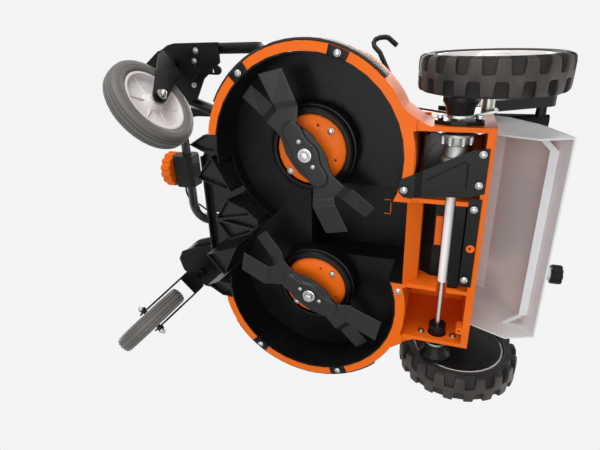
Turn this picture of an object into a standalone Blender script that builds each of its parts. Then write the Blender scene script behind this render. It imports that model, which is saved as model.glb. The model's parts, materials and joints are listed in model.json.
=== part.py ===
"""Cordless twin-blade lawn mower.

The mower stands on its wheels: +Z up, its front towards -Y, its left side towards +X.
Pieces are laid out from the point on the ground midway between the two blade axes, and the
whole mower is moved at the end, so that the origin is the middle of its footprint.
"""

import math

import bmesh
import bpy
from mathutils import Matrix, Vector

# Clearances between pieces that touch, run or slide
GAP = 0.0003
RUN = 0.0004

# Blades and the rings that they turn in
BLADE_SPACING = 0.306
BLADE_TIP_R = 0.1685
BLADE_THICK = 0.004
BLADE_LOW = 0.0425
BLADE_PAD = 0.0065
BLADE_NEAR_DROP = 0.0065
BLADE_FAR_RISE = 0.017
BLADE_LIFT = 0.004
BLADE_LEFT_TURN = math.radians(-35)
BLADE_RIGHT_TURN = math.radians(-55)
RING_R = 0.180
LINER_WALL = 0.003
SKIRT_LOW = 0.031
CEILING = 0.120

# Orange housing
FLANGE_WIDTH = 0.0155
FLANGE_HEIGHT = 0.006
SKIRT_WALL = 0.004
DECK_PLATE = 0.0042
BOX_HALF = 0.215
BOX_FLARE = 0.028
BOX_FRONT = 0.060
BOX_REAR = 0.324
BOX_FLARE_Y = 0.178
BOX_FLARE_EASE = 0.006
BOX_FLARE_MID = 0.030
BOX_FLARE_RUN = 0.044
BOX_LOW = 0.036
BOX_TOP = 0.207
BOX_WALL = 0.008
BEAM_DEPTH = 0.013
BEAM_TOP = 0.080
RIB = 0.008
CHANNEL_LEFT = 0.080
CHANNEL_RIGHT = -0.088
CHANNEL_FRONT = -0.020
CHANNEL_TOP = 0.192
CHUTE_STEP = 0.019
LIP_DEPTH = 0.025
LIP_RISE = 0.026
LIP_THICK = 0.004
MOUTH_CLEAR = 0.005
CHAMBER_CLEAR = 0.003
TOWER_R = 0.034
TOWER_TOP = 0.205
SHAFT_PORT_R = 0.0185
LUG_X = (0.002, -0.175)
LUG_Y = 0.3065
LUG_R = 0.0075
BOSS_WIDTH = 0.024
BOSS_ANGLES = (20, -39)
EDGE_GUARD_THICK = 0.0052
EDGE_GUARD_LOW = 0.034
EDGE_GUARD_HIGH = 0.062

# Front guard with its grass guides
APRON_FRONT = -0.268
APRON_HALF = 0.186
APRON_THICK = 0.003
APRON_DEPTH = 0.172
APRON_SIDE = 0.082
APRON_CORNER = 0.036
APRON_SLANT = 0.066
GUIDE_LOW = 0.036
GUIDE_TIP_Y = -0.243
GUIDE_TIP_X = 0.090

# Spindles, their flanges and the belt drive on the deck
SPINDLE_R = 0.012
BOLT_R = 0.008
NUT_R = 0.0135
NUT_HEIGHT = 0.0075
FLANGE_R = 0.071
FLANGE_LOW = 0.072
FLANGE_SHOULDER = 0.088
BELT_LOW = 0.216
BELT_WIDTH = 0.015
BELT_THICK = 0.004
PULLEY_R = 0.040
SMALL_PULLEY_R = 0.020
SMALL_PULLEY_X = -0.125
SMALL_PULLEY_Y = 0.100
MOTOR_R = 0.028
MOTOR_HEIGHT = 0.045

# Shroud, battery and its lid
SHROUD_HALF = 0.212
SHROUD_FRONT = -0.150
SHROUD_REAR = 0.214
SHROUD_TOP = 0.332
SHROUD_WALL = 0.003
BATTERY = (0.070, 0.105, 0.078)
BATTERY_Y = 0.010
BATTERY_LOW = 0.2425
LID_THICK = 0.004
LID_MARGIN = 0.016
LID_HINGE_R = 0.005

# Rear wheels, their drive and height adjustment
WHEEL_R = 0.1205
WHEEL_WIDTH = 0.0615
WHEEL_CLEAR = 0.0313
WHEEL_Y = 0.3088
TREAD_DEPTH = 0.0075
LUGS = 16
TYRE_SECTION = 0.0285
RIM_LIP = 0.0033
SHAFT_Y = 0.265
SHAFT_Z = 0.064
SHAFT_R = 0.005
PINION_R = 0.0120
SLEEVE_R = 0.0085
SLEEVE_RIGHT = -0.087
GEARBOX_R = 0.0255
GEARBOX_CLEAR = 0.029
GEARBOX_LENGTH = 0.070
GEARBOX_TOP = 0.098
GEARBOX_NECK_R = 0.019
DRIVE_MOTOR_R = 0.041
DRIVE_MOTOR_Y = 0.2525
DRIVE_MOTOR_SHIFT = 0.0025
PLATE_THICK = 0.0025
COVER_LEFT = 0.0545
COVER_RIGHT = 0.012
AXLE_R = 0.008
CARRIER_CLEAR = 0.0115
CARRIER_THICK = 0.005
BEARING_THICK = 0.007
BOOT_R = 0.031
LEVER_ARM = 0.046
LEVER_Y = 0.140
LEVER_WIRE_R = 0.005
LEVER_PIVOT_R = 0.008
LEVER_RISE = 0.098
PIN_ANGLE = math.radians(100)
PIN_R = 0.004

# Front bows, casters and their height adjustment
BOW_TUBE_R = 0.01375
BOW_REACH = 0.0324
BOW_BEND = 0.030
BOW_Z = 0.310
FOOT_X = 0.172
FOOT_Y = -0.168
REAR_FOOT_X = 0.262
REAR_FOOT_Y = -0.050
FOOT_HEIGHT = 0.020
CASTER_X = 0.2986
CASTER_Y = -0.4257
CASTER_R = 0.105
CASTER_WIDTH = 0.046
CASTER_TRAIL = 0.0875
CASTER_LEFT_TURN = math.radians(144.5)
CASTER_RIGHT_TURN = math.radians(226)
CASTER_RIM_R = 0.075
CASTER_AXLE_R = 0.006
CASTER_STEPS = 24
FORK_CLEAR = 0.0045
FORK_THICK = 0.004
CROWN_LOW = 0.221
CROWN_THICK = 0.010
STEM_R = 0.0078
BUSH_WALL = 0.003
BUSH_TOP = 0.368
BRACKET_LOW = 0.286
BRACKET_THICK = 0.0045
BRACKET_SLEEVE_WALL = 0.0035
CASTER_TRAVEL = 0.054
STEM_HEAD_R = 0.0125
STEM_HEAD = 0.007
DETENT_IN = 0.0151
DETENT_PIVOT = 0.066
DETENT_DROP = 0.006
DETENT_LENGTH = 0.075
DETENT_WIDTH = 0.022

# Rear flap
FLAP_INSET = 0.019
FLAP_WALL = 0.003
FLAP_HINGE_Y = 0.300
FLAP_HINGE_Z = 0.268
FLAP_PIN_R = 0.005
FLAP_BARREL_R = 0.0075
FLAP_PIN = 0.012
FLAP_CREASE = 0.057
FLAP_CREASE_DROP = 0.024
FLAP_WAIST = 0.105
FLAP_WAIST_DROP = 0.088
FLAP_RIM = 0.1445
FLAP_RIM_DROP = 0.186
FLAP_SIDE = 0.0275
FLAP_SIDE_DROP = 0.178
FLAP_CHIN = 0.091
FLAP_CHIN_DROP = 0.206
FLAP_FRAME = 0.018
FLAP_FRAME_RISE = 0.034
FLAP_FRAME_CORNER = 0.030

# Handlebar, its console and its controls
BAR_R = 0.01375
BAR_INSET = 0.031
BAR_FRONT = -0.487
BAR_FRONT_Z = 0.380
BAR_BEND = 0.052
PIVOT_Y = 0.430
PIVOT_Z = 0.385
PIVOT_BOLT_R = 0.006
CONSOLE_THICK = 0.0225
CONSOLE_FRONT = 0.222
CONSOLE_REAR = 0.316
CONSOLE_BASE = 0.012
CONSOLE_HEAD_R = 0.026
POST_R = 0.0165
POST_REAR = 0.5135
KNOB_R = 0.0245
KNOB_LENGTH = 0.026
CONTROL_HALF = 0.047
CONTROL_X = -0.008
DIAL_R = 0.052
DIAL_THICK = 0.030
CABLE_R = 0.00275
CABLE_END = 0.120
BAIL_R = 0.004
BAIL_PIVOT_Y = -0.330

# Sizes that follow from the ones above
BLADE_X = BLADE_SPACING / 2
LINER_R = RING_R + LINER_WALL
SOCKET_R = LINER_R + GAP
DECK_R = SOCKET_R + FLANGE_WIDTH
LINER_TOP = CEILING + LINER_WALL
PLATE_LOW = LINER_TOP + GAP
PLATE_TOP = PLATE_LOW + DECK_PLATE
BLADE_TOP = BLADE_LOW + BLADE_PAD
CHAMBER_HALF = BOX_HALF - BOX_WALL
BEAM_FRONT = BOX_REAR - BEAM_DEPTH
CHUTE_FRONT = DECK_R + CHUTE_STEP
LIP_FRONT = CHUTE_FRONT - LIP_DEPTH
LIP_LOW = BOX_LOW - 0.002
MOUTH_TOP = CEILING - 0.020
# The mouth starts just in front of the edge where the two rings meet, on a whole millimetre
MOUTH_FRONT = round(math.sqrt(RING_R * RING_R - BLADE_X * BLADE_X) - MOUTH_CLEAR, 3)
CARRIER_IN = BOX_HALF + CARRIER_CLEAR
CARRIER_OUT = CARRIER_IN + CARRIER_THICK
WHEEL_IN = CARRIER_OUT + WHEEL_CLEAR
WHEEL_OUT = WHEEL_IN + WHEEL_WIDTH
TYRE_BEAD_R = WHEEL_R - TYRE_SECTION
GEARBOX_LEFT = BOX_HALF - GEARBOX_CLEAR
GEARBOX_RIGHT = GEARBOX_LEFT - GEARBOX_LENGTH
DRIVE_MOTOR_X = (CHANNEL_LEFT + RIB + CHAMBER_HALF) / 2 + DRIVE_MOTOR_SHIFT
LEVER_Z = SHAFT_Z + LEVER_RISE
BOW_OUT = CASTER_X + BOW_REACH
DETENT_X = CASTER_X - DETENT_IN
BRACKET_SLEEVE_TOP = BUSH_TOP - CASTER_TRAVEL - RUN
FLAP_HALF = BOX_HALF - FLAP_INSET
BAR_HALF = FLAP_HALF - BAR_INSET
CROWN_TOP = CROWN_LOW + CROWN_THICK
CONSOLE_IN = FLAP_HALF + 0.0025
CONSOLE_OUT = CONSOLE_IN + CONSOLE_THICK
POST_X = -(CONSOLE_IN + CONSOLE_THICK / 2)
SIDES = (("left", 1), ("right", -1))

ORANGE = ("orange_paint", (0.86, 0.16, 0.015), 0.38, 0.0)
BLACK = ("black_plastic", (0.012, 0.012, 0.013), 0.45, 0.0)
BLACK_STEEL = ("black_coated_steel", (0.014, 0.014, 0.016), 0.35, 0.0)
BLADE_GREY = ("blade_coating", (0.025, 0.025, 0.027), 0.5, 0.3)
RUBBER = ("rubber", (0.03, 0.03, 0.03), 0.75, 0.0)
CASTER_RUBBER = ("caster_rubber", (0.055, 0.054, 0.052), 0.7, 0.0)
WHITE = ("white_plastic", (0.72, 0.73, 0.74), 0.4, 0.0)
RIM_GREY = ("rim_plastic", (0.62, 0.62, 0.66), 0.42, 0.0)
ZINC = ("zinc_plate", (0.62, 0.63, 0.60), 0.35, 0.9)
STEEL = ("bright_steel", (0.55, 0.55, 0.56), 0.3, 1.0)
ALUMINIUM = ("cast_aluminium", (0.50, 0.50, 0.51), 0.5, 0.85)
DARK_GREY = ("dark_grey_plastic", (0.05, 0.052, 0.056), 0.5, 0.0)


def clear_scene():
    for thing in list(bpy.data.objects):
        bpy.data.objects.remove(thing, do_unlink=True)


def material(finish):
    name, colour, roughness, metallic = finish
    found = bpy.data.materials.get(name)
    if found:
        return found
    made = bpy.data.materials.new(name)
    made.use_nodes = True
    shader = made.node_tree.nodes["Principled BSDF"]
    shader.inputs["Base Color"].default_value = (*colour, 1.0)
    shader.inputs["Roughness"].default_value = roughness
    shader.inputs["Metallic"].default_value = metallic
    made.diffuse_color = (*colour, 1.0)
    return made


def from_bmesh(name, bm, finish=None, smooth=None):
    bmesh.ops.remove_doubles(bm, verts=bm.verts, dist=1e-7)
    bmesh.ops.recalc_face_normals(bm, faces=bm.faces)
    mesh = bpy.data.meshes.new(name)
    bm.to_mesh(mesh)
    bm.free()
    thing = bpy.data.objects.new(name, mesh)
    bpy.context.scene.collection.objects.link(thing)
    if finish:
        mesh.materials.append(material(finish))
    if smooth:
        mesh.shade_smooth()
        mesh.set_sharp_from_angle(angle=math.radians(smooth))
    return thing


def placed(axis, u, v, along):
    """A point from two profile coordinates and a distance along the extrusion axis."""
    if axis == "x":
        return Vector((along, u, v))
    if axis == "y":
        return Vector((u, along, v))
    return Vector((u, v, along))


def prism(name, outline, low, high, axis="z", finish=None, bevel=0.0):
    """An outline pushed from low to high along an axis; a bevel rounds the far face's edges."""
    bm = bmesh.new()
    face = bm.faces.new([bm.verts.new(placed(axis, u, v, low)) for u, v in outline])
    pushed = bmesh.ops.extrude_face_region(bm, geom=[face])
    moved = [part for part in pushed["geom"] if isinstance(part, bmesh.types.BMVert)]
    bmesh.ops.translate(bm, verts=moved, vec=placed(axis, 0, 0, high - low))
    if bevel:
        far = [
            edge
            for edge in bm.edges
            if all(vert in moved for vert in edge.verts) and len(edge.link_faces) == 2
        ]
        bmesh.ops.bevel(bm, geom=far, offset=bevel, segments=2, profile=0.5, affect="EDGES")
    return from_bmesh(name, bm, finish)


def block(name, low, high, finish=None, bevel=0.0):
    """A box between two corners, with all its edges rounded where a bevel is given."""
    bm = bmesh.new()
    bmesh.ops.create_cube(bm, size=1.0)
    middle = [(a + b) / 2 for a, b in zip(low, high)]
    size = [b - a for a, b in zip(low, high)]
    bmesh.ops.scale(bm, vec=size, verts=bm.verts)
    bmesh.ops.translate(bm, vec=middle, verts=bm.verts)
    if bevel:
        bmesh.ops.bevel(bm, geom=bm.edges[:], offset=bevel, segments=2, profile=0.5, affect="EDGES")
    return from_bmesh(name, bm, finish)


def lathe(name, profile, centre, axis="z", steps=32, finish=None, turn=0.0):
    """A closed profile of (radius, distance along the axis) points, spun about the axis."""
    bm = bmesh.new()
    centre = Vector(centre)
    line = {"x": Vector((1, 0, 0)), "y": Vector((0, 1, 0)), "z": Vector((0, 0, 1))}[axis]
    out = {"x": Vector((0, 1, 0)), "y": Vector((1, 0, 0)), "z": Vector((1, 0, 0))}[axis]
    out = Matrix.Rotation(turn, 3, line) @ out
    verts = [bm.verts.new(centre + out * r + line * along) for r, along in profile]
    edges = [
        bm.edges.new((verts[i], verts[(i + 1) % len(verts)]))
        for i in range(len(verts))
        if profile[i][0] > 1e-9 or profile[(i + 1) % len(verts)][0] > 1e-9
    ]
    bmesh.ops.spin(
        bm, geom=edges, cent=centre, axis=line, angle=2 * math.pi, steps=steps, use_merge=True
    )
    bmesh.ops.remove_doubles(bm, verts=bm.verts, dist=1e-6)
    bmesh.ops.dissolve_degenerate(bm, edges=bm.edges, dist=1e-7)
    return from_bmesh(name, bm, finish, smooth=35)


def rod(name, radius, start, end, sides=16, finish=None):
    """A round bar between two points."""
    start = Vector(start)
    end = Vector(end)
    along = end - start
    bm = bmesh.new()
    turn = along.to_track_quat("Z", "Y").to_matrix().to_4x4()
    place = Matrix.Translation((start + end) / 2) @ turn
    bmesh.ops.create_cone(
        bm, cap_ends=True, segments=sides, radius1=radius, radius2=radius, depth=along.length, matrix=place
    )
    return from_bmesh(name, bm, finish, smooth=40)


def rounded(corners, radius, steps=5):
    """Corner points joined by straight runs and arcs of one radius."""
    points = [Vector(corners[0])]
    for before, corner, after in zip(corners, corners[1:], corners[2:]):
        before, corner, after = Vector(before), Vector(corner), Vector(after)
        back = (before - corner).normalized()
        ahead = (after - corner).normalized()
        half = back.angle(ahead) / 2
        reach = radius / math.tan(half)
        centre = corner + (back + ahead).normalized() * (radius / math.sin(half))
        start = corner + back * reach - centre
        end = corner + ahead * reach - centre
        sweep = start.angle(end)
        for step in range(steps + 1):
            share = step / steps
            arc = (
                start * math.sin((1 - share) * sweep) + end * math.sin(share * sweep)
            ) / math.sin(sweep)
            points.append(centre + arc)
    points.append(Vector(corners[-1]))
    return points


def tube(name, points, radius, finish=None, resolution=2):
    """A round tube that follows points, with closed ends."""
    curve = bpy.data.curves.new(name + "_path", "CURVE")
    curve.dimensions = "3D"
    curve.bevel_depth = radius
    curve.bevel_resolution = resolution
    curve.use_fill_caps = True
    spline = curve.splines.new("POLY")
    spline.points.add(len(points) - 1)
    for point, place in zip(spline.points, points):
        point.co = (*place, 1.0)
    guide = bpy.data.objects.new(name + "_guide", curve)
    bpy.context.scene.collection.objects.link(guide)
    depsgraph = bpy.context.evaluated_depsgraph_get()
    mesh = bpy.data.meshes.new_from_object(guide.evaluated_get(depsgraph))
    bpy.data.objects.remove(guide, do_unlink=True)
    bm = bmesh.new()
    bm.from_mesh(mesh)
    bpy.data.meshes.remove(mesh)
    return from_bmesh(name, bm, finish, smooth=50)


def loft(name, sections, finish=None, smooth=None):
    """Loops of equally many points, skinned one to the next and closed at both ends."""
    bm = bmesh.new()
    loops = [[bm.verts.new(point) for point in section] for section in sections]
    for first, second in zip(loops, loops[1:]):
        for i in range(len(first)):
            j = (i + 1) % len(first)
            bm.faces.new((first[i], first[j], second[j], second[i]))
    bm.faces.new(loops[0])
    bm.faces.new(loops[-1])
    return from_bmesh(name, bm, finish, smooth)


def hull(name, points, finish=None):
    """The convex solid round a few corner points."""
    bm = bmesh.new()
    for point in points:
        bm.verts.new(point)
    made = bmesh.ops.convex_hull(bm, input=bm.verts)
    loose = [part for part in made["geom_interior"] if isinstance(part, bmesh.types.BMVert)]
    bmesh.ops.delete(bm, geom=loose, context="VERTS")
    return from_bmesh(name, bm, finish)


def combine(target, operation, *tools):
    """Joins tools to a piece, or cuts them from it, and takes the tools away."""
    for tool in tools:
        change = target.modifiers.new(operation, "BOOLEAN")
        change.operation = operation
        change.solver = "EXACT"
        change.object = tool
        depsgraph = bpy.context.evaluated_depsgraph_get()
        mesh = bpy.data.meshes.new_from_object(target.evaluated_get(depsgraph))
        target.modifiers.clear()
        bm = bmesh.new()
        bm.from_mesh(mesh)
        bmesh.ops.remove_doubles(bm, verts=bm.verts, dist=2e-6)
        bmesh.ops.dissolve_degenerate(bm, edges=bm.edges, dist=1e-6)
        bm.to_mesh(mesh)
        bm.free()
        old = target.data
        keep = [slot for slot in old.materials]
        target.data = mesh
        mesh.materials.clear()
        for slot in keep[:1]:
            mesh.materials.append(slot)
        mesh.polygons.foreach_set("material_index", [0] * len(mesh.polygons))
        bpy.data.meshes.remove(old)
        bpy.data.objects.remove(tool, do_unlink=True)
    return target


def join(target, *tools):
    return combine(target, "UNION", *tools)


def cut(target, *tools):
    return combine(target, "DIFFERENCE", *tools)


def smooth(thing, degrees=35):
    thing.data.shade_smooth()
    thing.data.set_sharp_from_angle(angle=math.radians(degrees))
    return thing


def gathered(name, things):
    """Separate closed shapes as one mesh, for use as a single tool."""
    bm = bmesh.new()
    for thing in things:
        bm.from_mesh(thing.data)
        bpy.data.objects.remove(thing, do_unlink=True)
    mesh = bpy.data.meshes.new(name)
    bm.to_mesh(mesh)
    bm.free()
    made = bpy.data.objects.new(name, mesh)
    bpy.context.scene.collection.objects.link(made)
    return made


def arc(centre, radius, start, end, steps):
    """Points on an arc in the plan, angles in degrees from +X."""
    angles = [math.radians(start + (end - start) * i / steps) for i in range(steps + 1)]
    return [(centre[0] + radius * math.cos(a), centre[1] + radius * math.sin(a)) for a in angles]


def sector(name, centre, inner, outer, start, end, low, high, steps, finish=None):
    """A curved bar between two radii and two angles."""
    outline = arc(centre, outer, start, end, steps) + arc(centre, inner, end, start, steps)
    return prism(name, outline, low, high, finish=finish)


def mirrored(points, side):
    return [(x * side, y) for x, y in points]


def peanut(radius, z, steps=30):
    """Outline of two overlapping discs, one round each blade's axis."""
    half = math.degrees(math.acos(-BLADE_X / radius))
    left = arc((BLADE_X, 0), radius, -half, half, steps)
    right = arc((-BLADE_X, 0), radius, 180 - half, 180 + half, steps)
    return [(x, y, z) for x, y in left[:-1] + right[:-1]]


def peanut_solid(name, levels):
    """A solid skinned over peanut outlines, given as (radius, height) levels."""
    return loft(name, [peanut(radius, z) for radius, z in levels])


def deck_outline(inset, z):
    """Plan outline of the whole housing: round lobes in front, flaring into the rear box."""
    radius = DECK_R - inset
    end = math.degrees(math.acos((BOX_HALF + BOX_FLARE - BLADE_X) / DECK_R))
    left = arc((BLADE_X, 0), radius, -78, end, 26)
    left.append((BOX_HALF + BOX_FLARE_EASE - inset * 0.3, BOX_FLARE_Y + BOX_FLARE_MID))
    left.append((BOX_HALF - inset * 0.02, BOX_FLARE_Y + BOX_FLARE_RUN))
    left.append((BOX_HALF - inset * 0.02, BOX_REAR - inset * 0.02))
    right = [(-x, y) for x, y in reversed(left)]
    return [(x, y, z) for x, y in left + right]


def deck_housing():
    deck = loft(
        "deck_housing",
        [deck_outline(0, SKIRT_LOW), deck_outline(0, PLATE_TOP - 0.014), deck_outline(0.014, PLATE_TOP)],
    )
    cut(deck, block("box_base", (-2 * BOX_HALF, DECK_R + 0.0005, 0.0), (2 * BOX_HALF, 2 * BOX_REAR, BOX_LOW)))
    inset = 0.0010
    rear_box = prism(
        "rear_box",
        [(inset - BOX_HALF, BOX_FRONT), (BOX_HALF - inset, BOX_FRONT), (BOX_HALF - inset, BOX_REAR - inset),
         (inset - BOX_HALF, BOX_REAR - inset)],
        PLATE_LOW + 0.001, BOX_TOP, bevel=0.012,
    )
    hump = prism(
        "hump",
        [
            (CHANNEL_RIGHT - 0.010, CHANNEL_FRONT - 0.010),
            (CHANNEL_LEFT + 0.010, CHANNEL_FRONT - 0.010),
            (CHANNEL_LEFT + 0.010, 0.10),
            (CHANNEL_RIGHT - 0.010, 0.10),
        ],
        PLATE_LOW + 0.0015,
        BOX_TOP - 0.002,
    )
    join(deck, rear_box, hump)
    inner = DECK_R - SKIRT_WALL
    step = SKIRT_LOW + FLANGE_HEIGHT
    profile = [(SOCKET_R, SKIRT_LOW - 0.01), (SOCKET_R, step), (inner, step), (inner, PLATE_LOW)]
    cut(deck, peanut_solid("ring_space", profile))
    # The rear box is hollow below: a drive chamber on each side and the chute between them
    for _, side in SIDES:
        edge = CHANNEL_LEFT if side > 0 else -CHANNEL_RIGHT
        radius = DECK_R + CHAMBER_CLEAR
        start = math.degrees(math.acos((edge + RIB - BLADE_X) / radius))
        end = math.degrees(math.acos((CHAMBER_HALF - BLADE_X) / radius))
        outline = [(edge + RIB, BEAM_FRONT)] + arc((BLADE_X, 0), radius, start, end, 6)
        outline = mirrored(outline + [(CHAMBER_HALF, BEAM_FRONT)], side)
        cut(deck, prism("chamber", outline, BOX_LOW - 0.01, BOX_TOP - BOX_WALL))
    tunnel = [
        (CHANNEL_FRONT, MOUTH_TOP),
        (CHANNEL_FRONT, CHANNEL_TOP),
        (BOX_REAR + 0.01, CHANNEL_TOP),
        (BOX_REAR + 0.01, BEAM_TOP),
        (BEAM_FRONT, BEAM_TOP),
        (BEAM_FRONT, BOX_LOW - 0.01),
        (LIP_FRONT - 0.001, BOX_LOW - 0.01),
        (LIP_FRONT - 0.001, LIP_LOW),
        (LIP_FRONT, LIP_LOW),
        (CHUTE_FRONT, LIP_LOW + LIP_RISE),
        (CHUTE_FRONT, MOUTH_TOP),
    ]
    cut(deck, prism("tunnel", tunnel, CHANNEL_RIGHT, CHANNEL_LEFT, axis="x"))
    # The rings open into the tunnel over a sloping lip
    mouth = [
        (MOUTH_FRONT, SKIRT_LOW - 0.01),
        (MOUTH_FRONT, MOUTH_TOP + 0.001),
        (CHUTE_FRONT - LIP_THICK, MOUTH_TOP + 0.001),
        (CHUTE_FRONT - LIP_THICK, LIP_LOW + LIP_RISE + LIP_THICK),
        (LIP_FRONT, LIP_LOW + LIP_THICK),
        (LIP_FRONT, SKIRT_LOW - 0.01),
    ]
    cut(deck, prism("mouth", mouth, CHANNEL_RIGHT - GAP, CHANNEL_LEFT + GAP, axis="x"))
    slot = SLEEVE_R + RUN
    left_rib = (CHANNEL_LEFT - 0.004, CHANNEL_LEFT + RIB + 0.002)
    right_rib = (CHANNEL_RIGHT - RIB - 0.002, CHANNEL_RIGHT + 0.004)
    for near, far in (left_rib, right_rib):
        first = (near, SHAFT_Y - slot, BOX_LOW - 0.015)
        cut(deck, block("shaft_slot", first, (far, SHAFT_Y + slot, SHAFT_Z + slot)))
    # Room for the front guard, and gaps in the flange for the liner's screw tabs
    cut(
        deck,
        block("guard_space", (-APRON_HALF - GAP, -0.30, 0.0), (APRON_HALF + GAP, -0.095, PLATE_LOW + 0.0002)),
    )
    for _, side in SIDES:
        for angle in BOSS_ANGLES:
            middle = angle if side > 0 else 180 - angle
            half = math.degrees(BOSS_WIDTH / 2 / RING_R)
            gap = sector(
                "boss_gap", (side * BLADE_X, 0), RING_R - 0.01, inner - 0.0015, middle - half, middle + half,
                SKIRT_LOW - 0.012, SKIRT_LOW + 0.020, 2,
            )
            cut(deck, gap)
        port_in = (side * (CHAMBER_HALF - 0.01), SHAFT_Y, SHAFT_Z)
        cut(deck, rod("shaft_port", SHAFT_PORT_R, port_in, (side * (BOX_HALF + 0.01), SHAFT_Y, SHAFT_Z), 20))
        foot = PLATE_LOW + 0.001
        profile = [(0, foot), (TOWER_R, foot), (TOWER_R - 0.004, foot + 0.026)]
        profile += [(SPINDLE_R + 0.007, TOWER_TOP), (0, TOWER_TOP)]
        join(deck, lathe("bearing_tower", profile, (side * BLADE_X, 0, 0), steps=24))
        top = (side * BLADE_X, 0, TOWER_TOP + 0.01)
        cut(deck, rod("spindle_bore", SPINDLE_R + RUN, (side * BLADE_X, 0, PLATE_LOW - 0.01), top, 20))
    join(deck, quadrant())
    pivot_end = (BOX_HALF + 0.01, LEVER_Y, LEVER_Z)
    cut(deck, rod("pivot_hole", LEVER_PIVOT_R + RUN, (BOX_HALF + 0.0015, LEVER_Y, LEVER_Z), pivot_end, 16))
    for x in LUG_X:
        join(deck, rod("lug", LUG_R, (x, LUG_Y, BOX_LOW - 0.0030), (x, LUG_Y, BOX_LOW + 0.020)))
        hole = (x, LUG_Y - 0.001, BOX_LOW - 0.005)
        cut(deck, rod("lug_hole", 0.0025, hole, (x, LUG_Y - 0.001, BOX_LOW + 0.015), 10))
    deck.data.materials.append(material(ORANGE))
    return smooth(deck, 30)


def quadrant():
    """Toothed quadrant on the left of the box, which holds the height lever."""
    teeth = []
    count = 7
    outer = LEVER_ARM + 0.022
    for i in range(count * 2 + 1):
        angle = math.radians(150 - i * 70 / (count * 2))
        radius = outer if i % 2 == 0 else outer - 0.007
        teeth.append((LEVER_Y + radius * math.cos(angle), LEVER_Z + radius * math.sin(angle)))
    outline = [(LEVER_Y - 0.030, LEVER_Z - 0.020)] + teeth + [(LEVER_Y + 0.075, LEVER_Z - 0.020)]
    return prism("quadrant", outline, BOX_HALF - 0.004, BOX_HALF + 0.0045, axis="x")


def deck_liner():
    """Black lining of both rings and of the discharge channel."""
    low = SKIRT_LOW + 0.0005
    liner = peanut_solid("deck_liner", [(LINER_R, low), (LINER_R, LINER_TOP)])
    walls = [
        (CHANNEL_FRONT + GAP, CEILING + 0.001),
        (CHANNEL_FRONT + GAP, CHANNEL_TOP - GAP),
        (CHUTE_FRONT - 0.002, CHANNEL_TOP - GAP),
        (CHUTE_FRONT - 0.002, CEILING + 0.001),
        (LIP_FRONT - GAP, CEILING + 0.001),
        (LIP_FRONT - GAP, low),
        (MOUTH_FRONT + 0.005, low),
        (MOUTH_FRONT + 0.005, CEILING + 0.001),
    ]
    join(liner, prism("walls", walls, CHANNEL_RIGHT + GAP, CHANNEL_LEFT - GAP, axis="x"))
    for _, side in SIDES:
        for angle in BOSS_ANGLES:
            middle = angle if side > 0 else 180 - angle
            half = math.degrees((BOSS_WIDTH / 2 - GAP) / RING_R)
            tab = sector(
                "tab", (side * BLADE_X, 0), RING_R + 0.001, DECK_R - SKIRT_WALL - 0.0025, middle - half,
                middle + half, low + 0.0005, low + 0.0185, 2,
            )
            join(liner, tab)
    inset = GAP + LINER_WALL
    space = [
        (CHANNEL_FRONT + inset, CEILING - 0.01),
        (CHANNEL_FRONT + inset, CHANNEL_TOP - inset),
        (CHUTE_FRONT + 0.01, CHANNEL_TOP - inset),
        (CHUTE_FRONT + 0.01, low - 0.01),
        (MOUTH_FRONT, low - 0.01),
        (MOUTH_FRONT, CEILING - 0.01),
    ]
    cut(
        liner,
        peanut_solid("rings", [(RING_R, low - 0.01), (RING_R, CEILING)]),
        prism("space", space, CHANNEL_RIGHT + inset, CHANNEL_LEFT - inset, axis="x"),
        block("intake", (-0.130, -0.30, 0.0), (0.130, -0.098, CEILING - 0.030)),
    )
    for _, side in SIDES:
        cut(liner, rod("spindle_hole", 0.0315, (side * BLADE_X, 0, 0.11), (side * BLADE_X, 0, 0.14), 20))
    liner.data.materials.append(material(BLACK))
    return smooth(liner, 30)


def discharge_chute():
    """Floor that carries cut grass over the drive shaft to the rear mouth."""
    left = CHANNEL_LEFT - GAP
    right = CHANNEL_RIGHT + GAP
    start = CHUTE_FRONT + GAP
    floor_low = BEAM_TOP + GAP
    profile = [
        (start, floor_low + 0.018),
        (start + 0.022, floor_low),
        (SHAFT_Y + 0.0093, floor_low),
        (SHAFT_Y + 0.0093, BOX_LOW + 0.006),
        (SHAFT_Y + 0.028, BOX_LOW + 0.006),
        (SHAFT_Y + 0.028, floor_low),
        (BOX_REAR, floor_low),
        (BOX_REAR, floor_low + 0.003),
        (start + 0.023, floor_low + 0.003),
        (start, floor_low + 0.023),
    ]
    return prism("discharge_chute", profile, right, left, axis="x", finish=BLACK)


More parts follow.
